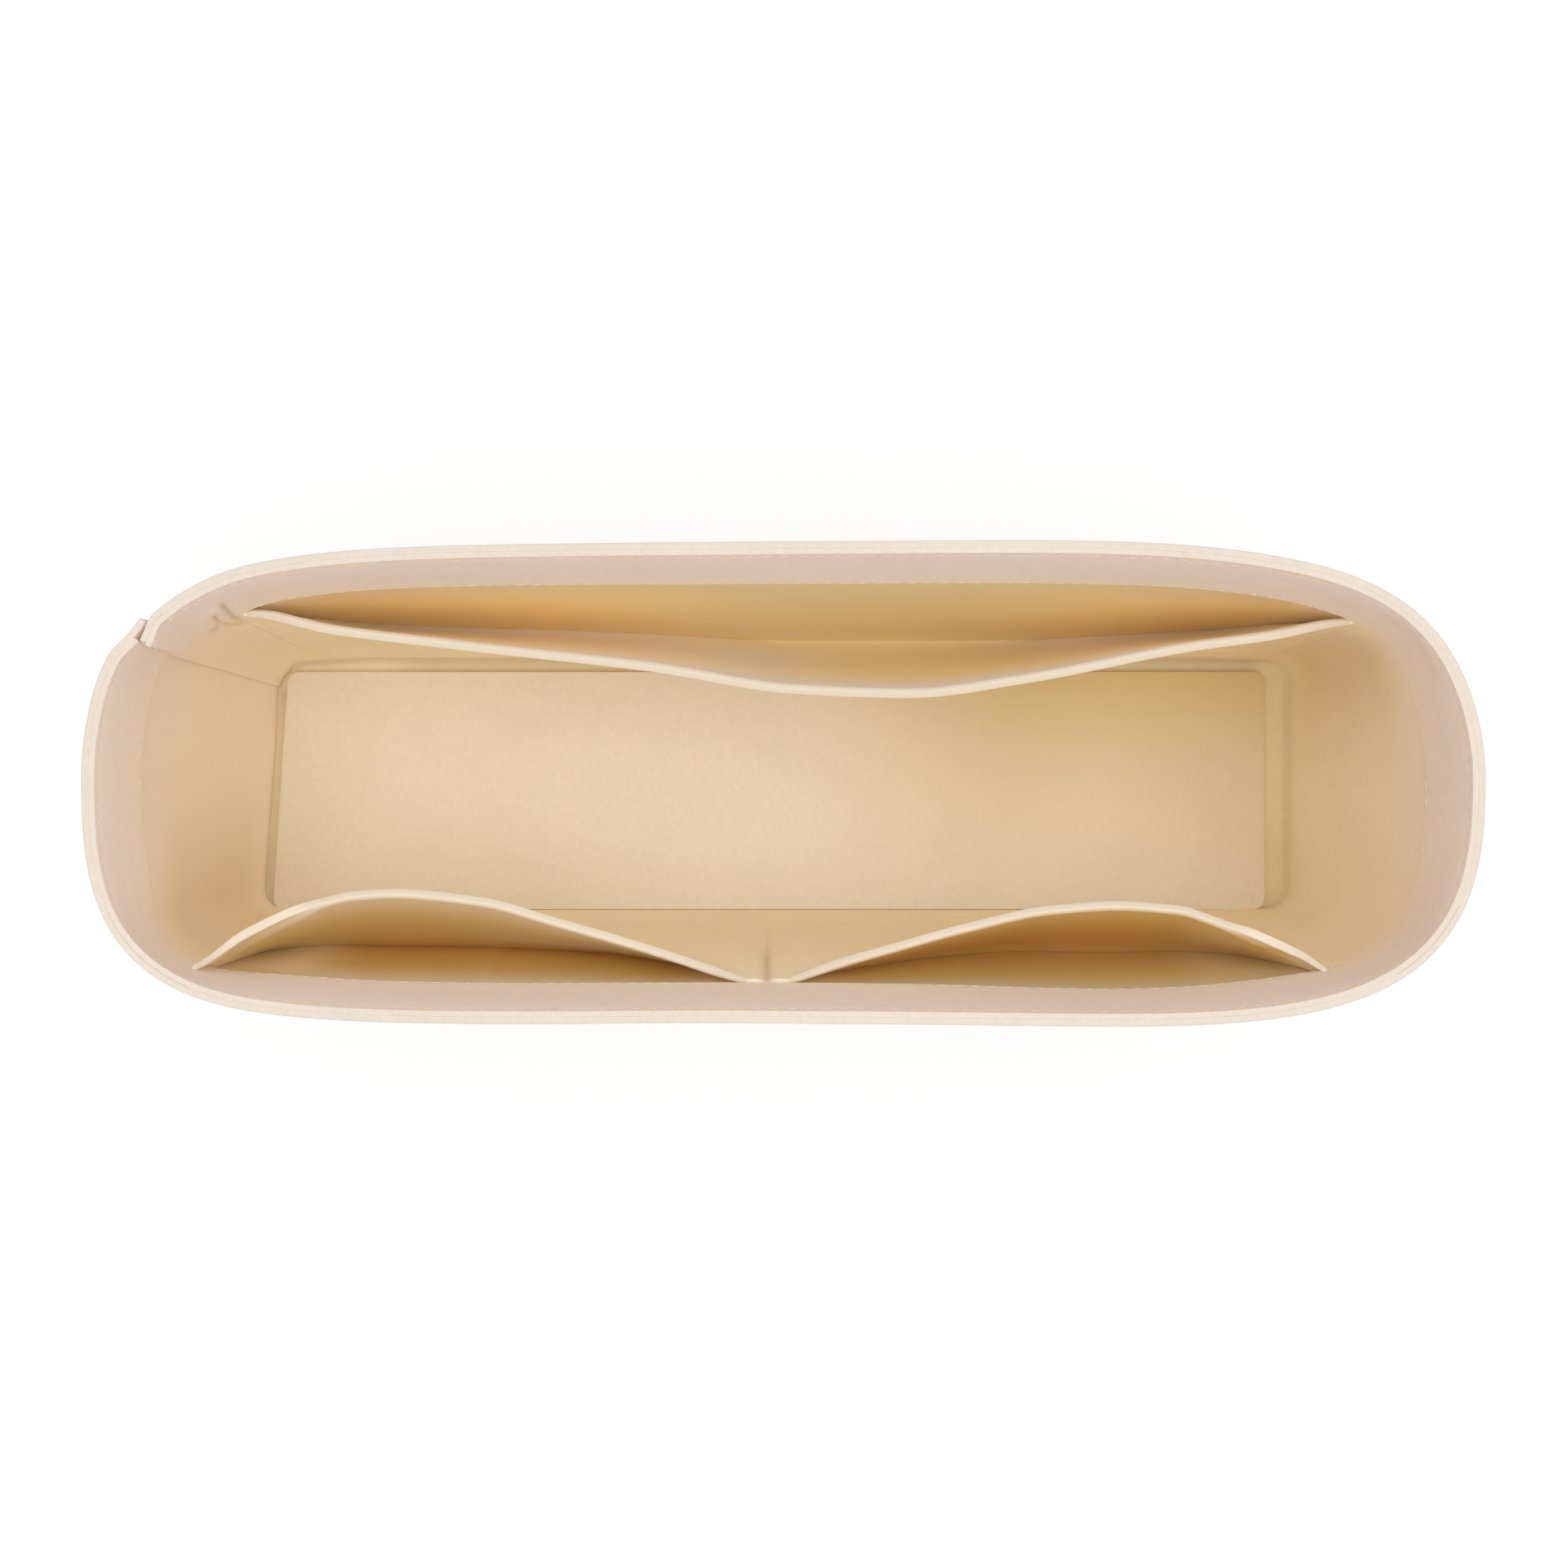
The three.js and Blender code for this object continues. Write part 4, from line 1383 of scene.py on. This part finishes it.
class MESH_OT_insert_facing(InsertOperator):
    """Add the facing that lines the rim"""

    bl_idname = "mesh.insert_facing"
    bl_label = "Rim Facing"

    def execute(self, context):
        settings, shape = self.shape(context)
        felt, facing = settings.felt, settings.facing
        first, last = shape.facing_ends()
        low = shape.facing_low
        places = divided(first, last, felt.step / shape.quarter)
        levels = divided(low, shape.tub.height, felt.rise / 2, shape.facing_rows(), shape.stitch.groove_reach)
        pressed = low + facing.press_run * np.linspace(0, 1, 4)
        levels = np.concatenate([pressed, levels[levels > low + facing.press_run * 1.2]])
        places = finer(places, shape.crease_place, shape.crease_half, felt.step / shape.quarter / 4)
        piece = wall_layer(
            "rim_facing_felt", shape.facing_outside, places, levels, shape.quarter,
            room_tone=shape.facing_tone,
        )
        thickness = np.tile(shape.facing_thickness(levels) / felt.facing, len(places))
        felts_used = felts(settings, "facing", inner="room_tone")
        thicken(piece, felt.facing, felt.rim_edge, felts_used, thickness, flush=0)
        plain_edges(piece, lambda run, height: height > shape.tub.height - 2 * felt.rim_edge)
        settle(piece, "tub", "rim_facing")
        return {"FINISHED"}


class MESH_OT_insert_pockets(InsertOperator):
    """Add the rear pocket panel and the front panel with its two pockets"""

    bl_idname = "mesh.insert_pockets"
    bl_label = "Pocket Panels"

    def execute(self, context):
        settings, shape = self.shape(context)
        for side in ("rear", "front"):
            self.add_panel(settings, shape, side)
        return {"FINISHED"}

    def add_panel(self, settings, shape, side):
        felt, stitch = settings.felt, settings.stitch
        first, last = shape.panel_ends(side)
        places = divided(first, last, felt.step / shape.quarter)
        seam_height = shape.seam_height(side)
        rows = [seam_height + stitch.pocket_row]
        levels = divided(seam_height, shape.pocket_top, felt.rise / 2, rows, stitch.groove_reach)
        levels = np.sort(np.append(levels, shape.pocket_top - felt.pale_reach / 2))
        fine_step = felt.step / shape.quarter / 4
        tab = settings.pocket.tab / shape.quarter
        seam_place = shape.crease_place if side == "rear" else shape.at_front(settings.pocket.front_seam)
        places = finer(places, seam_place, shape.crease_half, fine_step)
        for end in (first + tab, last - tab):
            places = finer(places, end, tab / 2, fine_step)
        piece = wall_layer(
            side + "_pocket_felt", partial(shape.panel_outside, side), places, levels, shape.quarter,
            pocket_tone=partial(shape.panel_back_tone, side),
            room_tone=partial(shape.panel_front_tone, side),
            paleness=partial(shape.panel_paleness, side),
        )
        thickness = np.repeat(shape.panel_thickness(side, places), len(levels)) / felt.pocket
        felts_used = felts(settings, "pocket", "pocket_tone", "room_tone")
        thicken(piece, felt.pocket, felt.edge, felts_used, thickness)
        mouths = [sorted(mouth[:2]) for mouth in shape.mouths(side)]

        def in_mouth(run, height):
            return any(start < run / shape.quarter < end for start, end in mouths)

        plain_edges(piece, in_mouth)
        settle(piece, "tub", side + "_pocket_panel")


class MESH_OT_insert_floor(InsertOperator):
    """Add the floor that is sewn into the foot of the wall"""

    bl_idname = "mesh.insert_floor"
    bl_label = "Sewn Floor"

    def execute(self, context):
        settings, shape = self.shape(context)
        felt = settings.felt
        places = divided(0, QUARTERS, felt.step / shape.quarter)[::-1]
        edge = shape.inset_point(places, felt.floor, shape.inner_inset(places) - felt.tucked)
        middle = np.array([np.clip(edge[:, 0], -FLOOR_LINE, FLOOR_LINE), 0 * edge[:, 1]]).T
        flat = middle[:, None] + (edge[:, None, :2] - middle[:, None]) * np.array(FLOOR_SHARES)[None, :, None]
        from_edge = np.linalg.norm(edge[:, None, :2] - flat, axis=-1)
        points = np.concatenate([flat, np.full_like(from_edge, felt.floor)[..., None]], axis=-1)
        x, y = points[..., 0], points[..., 1]
        mesh = grid_mesh("floor_felt", points, x, y)
        keep(mesh, "from_edge", from_edge, from_edge.size)
        # Painted light that pales the floor in the trench beside the board, against the trench's shade
        beside = np.maximum(rising(y / MM, *TRENCH_FRONT), TRENCH_REAR_SHARE * rising(y / MM, *TRENCH_REAR))
        beside = beside * (1 - rising(x / MM, *TRENCH_RIGHT))
        trench = np.maximum(rising(x / MM, *TRENCH_LEFT), beside)
        keep(mesh, "room_tone", with_alpha(settings.colour.trench, trench), from_edge.size)
        piece = link("floor_felt", mesh)
        make_active(piece)
        edit_all()
        bpy.ops.mesh.remove_doubles(threshold=JOINED)
        bpy.ops.object.mode_set(mode="OBJECT")
        felts_used = felts(settings, "floor", "room_tone", "room_tone", pale_edge=False)
        thicken(piece, felt.floor, felt.edge, felts_used)
        values = np.zeros(len(piece.data.vertices))
        piece.data.attributes["from_edge"].data.foreach_get("value", values)
        for vertex, away in zip(piece.data.vertices, values):
            if vertex.co.z > felt.floor / 2:
                vertex.co.z += felt.floor_rise * max(1 - away / felt.floor_rise_run, 0) ** 2
        settle(piece, "tub", "floor_panel")
        return {"FINISHED"}


class MESH_OT_insert_board(InsertOperator):
    """Add the loose base board: a stiff sheet between two felts"""

    bl_idname = "mesh.insert_board"
    bl_label = "Base Board"

    def execute(self, context):
        settings, shape = self.shape(context)
        self.add_felt(settings, "base_board_bottom_felt", "board_under_felt", swell=0)
        self.add_felt(settings, "base_board_top_felt", "board_upper_felt", swell=settings.board.swell)
        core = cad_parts["base_board_core"]
        core.data.materials.clear()
        core.data.materials.append(material_once("pressed_board", core_material, tuple(settings.colour.core)))
        return {"FINISHED"}

    def add_felt(self, settings, node, name, swell):
        board, felt = settings.board, settings.felt
        low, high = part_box(node)
        half_width = (high.y - low.y + board.front_reach) / 2
        middle_y = high.y - half_width
        corner = board.corner
        inner = half_width - corner
        arc = corner * np.sin(np.linspace(0, math.pi / 2, BOARD_CORNER_STEPS))
        run = np.concatenate([np.linspace(0, inner, BOARD_ROWS), inner + arc[1:]])
        across = np.concatenate([-run[:0:-1], run])
        cut_back = corner - np.sqrt(np.maximum(corner**2 - np.maximum(np.abs(across) - inner, 0) ** 2, 0))
        part = np.linspace(0, 1, BOARD_COLUMNS)
        left = low.x + cut_back + board.skew * across / half_width
        right = high.x - cut_back
        x = left[None, :] + (right - left)[None, :] * part[:, None]
        y = np.broadcast_to(middle_y + across, x.shape)
        arch = np.sqrt(np.sin(math.pi * part)[:, None] * np.cos(across / half_width * math.pi / 2)[None, :])
        along_wave, across_wave, slant_wave = BOARD_WAVES
        waves = np.sin(x * along_wave) * np.cos(y * across_wave + x * slant_wave)
        z = high.z + swell * arch * (1 - BOARD_WAVE_SHARE * (1 - waves))
        points = np.stack([x, y, z], axis=-1)
        mesh = grid_mesh(name, points, x, y)
        to_rear = 0.5 + (y - middle_y) / (2 * half_width)
        up = np.clip(BOARD_SHADE_SLOPE * to_rear - BOARD_SHADE_DROP, 0, 1)
        shade = board.shade * smooth(x / board.shade_run) * up
        keep(mesh, "room_tone", with_alpha(settings.colour.board_shade, shade), x.size)
        piece = link(name, mesh)
        felts_used = felts(settings, "board", "room_tone", "room_tone", pale_edge=False)
        thicken(piece, felt.board, felt.board_edge, felts_used)
        settle(piece, "base_board", node)


class MESH_OT_insert_stitching(InsertOperator):
    """Add the rows of stitches, outside and inside"""

    bl_idname = "mesh.insert_stitching"
    bl_label = "Stitching"

    def execute(self, context):
        settings, shape = self.shape(context)
        model = make_stitch(settings)
        for name, paths in self.rows(settings, shape):
            settle(sew(name, paths, settings, model), "tub")
        return {"FINISHED"}

    def rows(self, settings, shape):
        tub, pocket, stitch = settings.tub, settings.pocket, settings.stitch
        quarter = shape.quarter
        end_room = ROW_END_ROOM / quarter
        facing_first, facing_last = shape.facing_ends()
        band = (facing_first + end_room, facing_last - end_room)
        floor_z, low_z, rim_z = shape.wall_rows()

        def level(surface, ends, z, outward):
            return seam_path(surface, quarter, (ends[0], z), (ends[1], z), outward)

        def upright(surface, place, low, high, outward):
            return seam_path(surface, quarter, (place, low), (place, high), outward)

        wall_shown = (shape.lap_start + end_room, shape.lap_start + QUARTERS)
        yield "rim_stitches_outside", [level(shape.wall_outside, wall_shown, rim_z, True)]
        yield "rim_stitches_inside", [level(shape.facing_inside, band, rim_z, False)]
        yield "facing_stitches_outside", [level(shape.wall_outside, wall_shown, low_z, True)]
        yield "facing_stitches_inside", [level(shape.facing_inside, band, low_z, False)]
        yield "floor_stitches", [level(shape.wall_outside, wall_shown, floor_z, True)]
        lap_place = shape.lap_start + stitch.lap_row / quarter
        yield "lap_stitches", [upright(shape.wall_outside, lap_place, 2 * floor_z, tub.height, True)]
        for side in ("rear", "front"):
            ends = shape.panel_ends(side)
            pocket_z = shape.seam_height(side) + stitch.pocket_row
            tab = pocket.tab / 2 / quarter
            inner_ends = (ends[0] + tab, ends[1] - tab)
            places = list(inner_ends)
            if side == "front":
                places.append(shape.at_front(pocket.front_seam))
            panel = partial(shape.panel_inside, side)
            inside = [level(panel, inner_ends, pocket_z, False)]
            outside = [level(shape.wall_outside, inner_ends, pocket_z, True)]
            low, high = pocket_z + stitch.pitch, shape.pocket_top
            for place in places:
                inside.append(upright(panel, place, low, high, False))
                outside.append(upright(shape.wall_outside, place, low, high, True))
            yield side + "_pocket_stitches_inside", inside
            yield side + "_pocket_stitches_outside", outside


class SCENE_OT_insert_stage(InsertOperator):
    """Add the camera, the lamps and the pale floor"""

    bl_idname = "scene.insert_stage"
    bl_label = "Stage"

    def execute(self, context):
        stage = context.scene.handbag_insert.stage
        height = context.scene.handbag_insert.tub.height
        self.add_floor(stage)
        self.add_camera(context, stage, height)
        self.add_lamp(context, stage)
        self.light_world(context, stage)
        context.scene.view_settings.view_transform = "Standard"
        context.scene.cycles.diffuse_bounces = 10
        return {"FINISHED"}

    def add_floor(self, stage):
        clear_selection()
        bpy.ops.mesh.primitive_plane_add(size=stage.floor_size, location=(0, 0, -STAGE_DROP))
        floor = bpy.context.object
        floor.name = "pale_floor"
        bpy.ops.object.transform_apply(location=True, rotation=True, scale=True)
        material, tree, shader = new_material("pale_floor")
        tree.fill(shader, {
            "Base Color": (*stage.floor_colour, 1),
            "Roughness": 0.9,
            "Specular IOR Level": 0.1,
        })
        glow = tree.add("Emission", {"Strength": GLOW_STRENGTH}).outputs["Emission"]
        glow_share = tree.combine("MULTIPLY", self.seen_rays(tree), stage.backdrop_glow)
        mix = tree.add("MixShader", {"Fac": glow_share, 1: shader.outputs["BSDF"], 2: glow})
        tree.fill(tree.nodes["Material Output"], {"Surface": mix.outputs["Shader"]})
        floor.data.materials.append(material)

    def seen_rays(self, tree):
        """1 for the rays that show the backdrop: seen at once, in gloss or through glass."""
        path = tree.add("LightPath").outputs
        seen = tree.combine("MAXIMUM", path["Is Camera Ray"], path["Is Glossy Ray"])
        return tree.combine("MAXIMUM", seen, path["Is Transmission Ray"])

    def add_camera(self, context, stage, rim_height):
        camera = bpy.data.objects.new("camera", bpy.data.cameras.new("camera"))
        context.scene.collection.objects.link(camera)
        camera.location = (0, 0, stage.camera_height)
        camera.data.sensor_width = stage.sensor
        camera.data.lens = stage.sensor * (stage.camera_height - rim_height) / stage.view_width
        camera.data.clip_start = 0.01
        context.scene.camera = camera

    def add_lamp(self, context, stage):
        lamp = bpy.data.objects.new("overhead_lamp", bpy.data.lights.new("overhead_lamp", "AREA"))
        context.scene.collection.objects.link(lamp)
        lamp.data.shape = "DISK"
        lamp.data.size = stage.lamp_size
        lamp.data.energy = stage.lamp_power
        lamp.location = (stage.lamp_right, stage.lamp_rear, stage.lamp_height)
        lamp.rotation_euler = (Vector((0, 0, 0)) - lamp.location).to_track_quat("-Z", "Y").to_euler()

    def light_world(self, context, stage):
        world = bpy.data.worlds.new("even_light")
        context.scene.world = world
        tree = NodeTree(world)
        strength = tree.ranged(self.seen_rays(tree), 0, 1, stage.sky, 1)
        tree.fill(tree.nodes["Background"], {"Color": (1, 1, 1, 1), "Strength": strength})


class VIEW3D_PT_handbag_insert(bpy.types.Panel):
    """The insert's pieces, one button each, and their sizes"""

    bl_label = "Handbag Insert"
    bl_space_type = "VIEW_3D"
    bl_region_type = "UI"
    bl_category = "Insert"

    def draw(self, context):
        for operator in OPERATORS:
            self.layout.operator(operator.bl_idname)
        self.draw_group(self.layout, context.scene.handbag_insert)

    def draw_group(self, layout, group):
        for name in group.__annotations__:
            value = getattr(group, name)
            if isinstance(value, bpy.types.PropertyGroup):
                box = layout.box()
                box.label(text=group.bl_rna.properties[name].name)
                self.draw_group(box, value)
            else:
                layout.prop(group, name)


GROUPS = (
    TubSizes, FeltSizes, LapSizes, FacingSizes, PocketSizes, BoardSizes, StitchSizes, RearPocketColours,
    LeftPocketColours, RightPocketColours, FeltColours, StageLook, InsertSettings,
)
OPERATORS = (
    MESH_OT_insert_wall, MESH_OT_insert_facing, MESH_OT_insert_pockets, MESH_OT_insert_floor,
    MESH_OT_insert_board, MESH_OT_insert_stitching, SCENE_OT_insert_stage,
)
CLASSES = (*GROUPS, *OPERATORS, VIEW3D_PT_handbag_insert)


def register():
    for each in CLASSES:
        bpy.utils.register_class(each)
    bpy.types.Scene.handbag_insert = PointerProperty(type=InsertSettings)


def unregister():
    del bpy.types.Scene.handbag_insert
    for each in reversed(CLASSES):
        bpy.utils.unregister_class(each)


def main():
    register()
    bpy.ops.mesh.insert_wall()
    bpy.ops.mesh.insert_facing()
    bpy.ops.mesh.insert_pockets()
    bpy.ops.mesh.insert_floor()
    bpy.ops.mesh.insert_board()
    bpy.ops.mesh.insert_stitching()
    bpy.ops.scene.insert_stage()


if __name__ == "__main__":
    main()
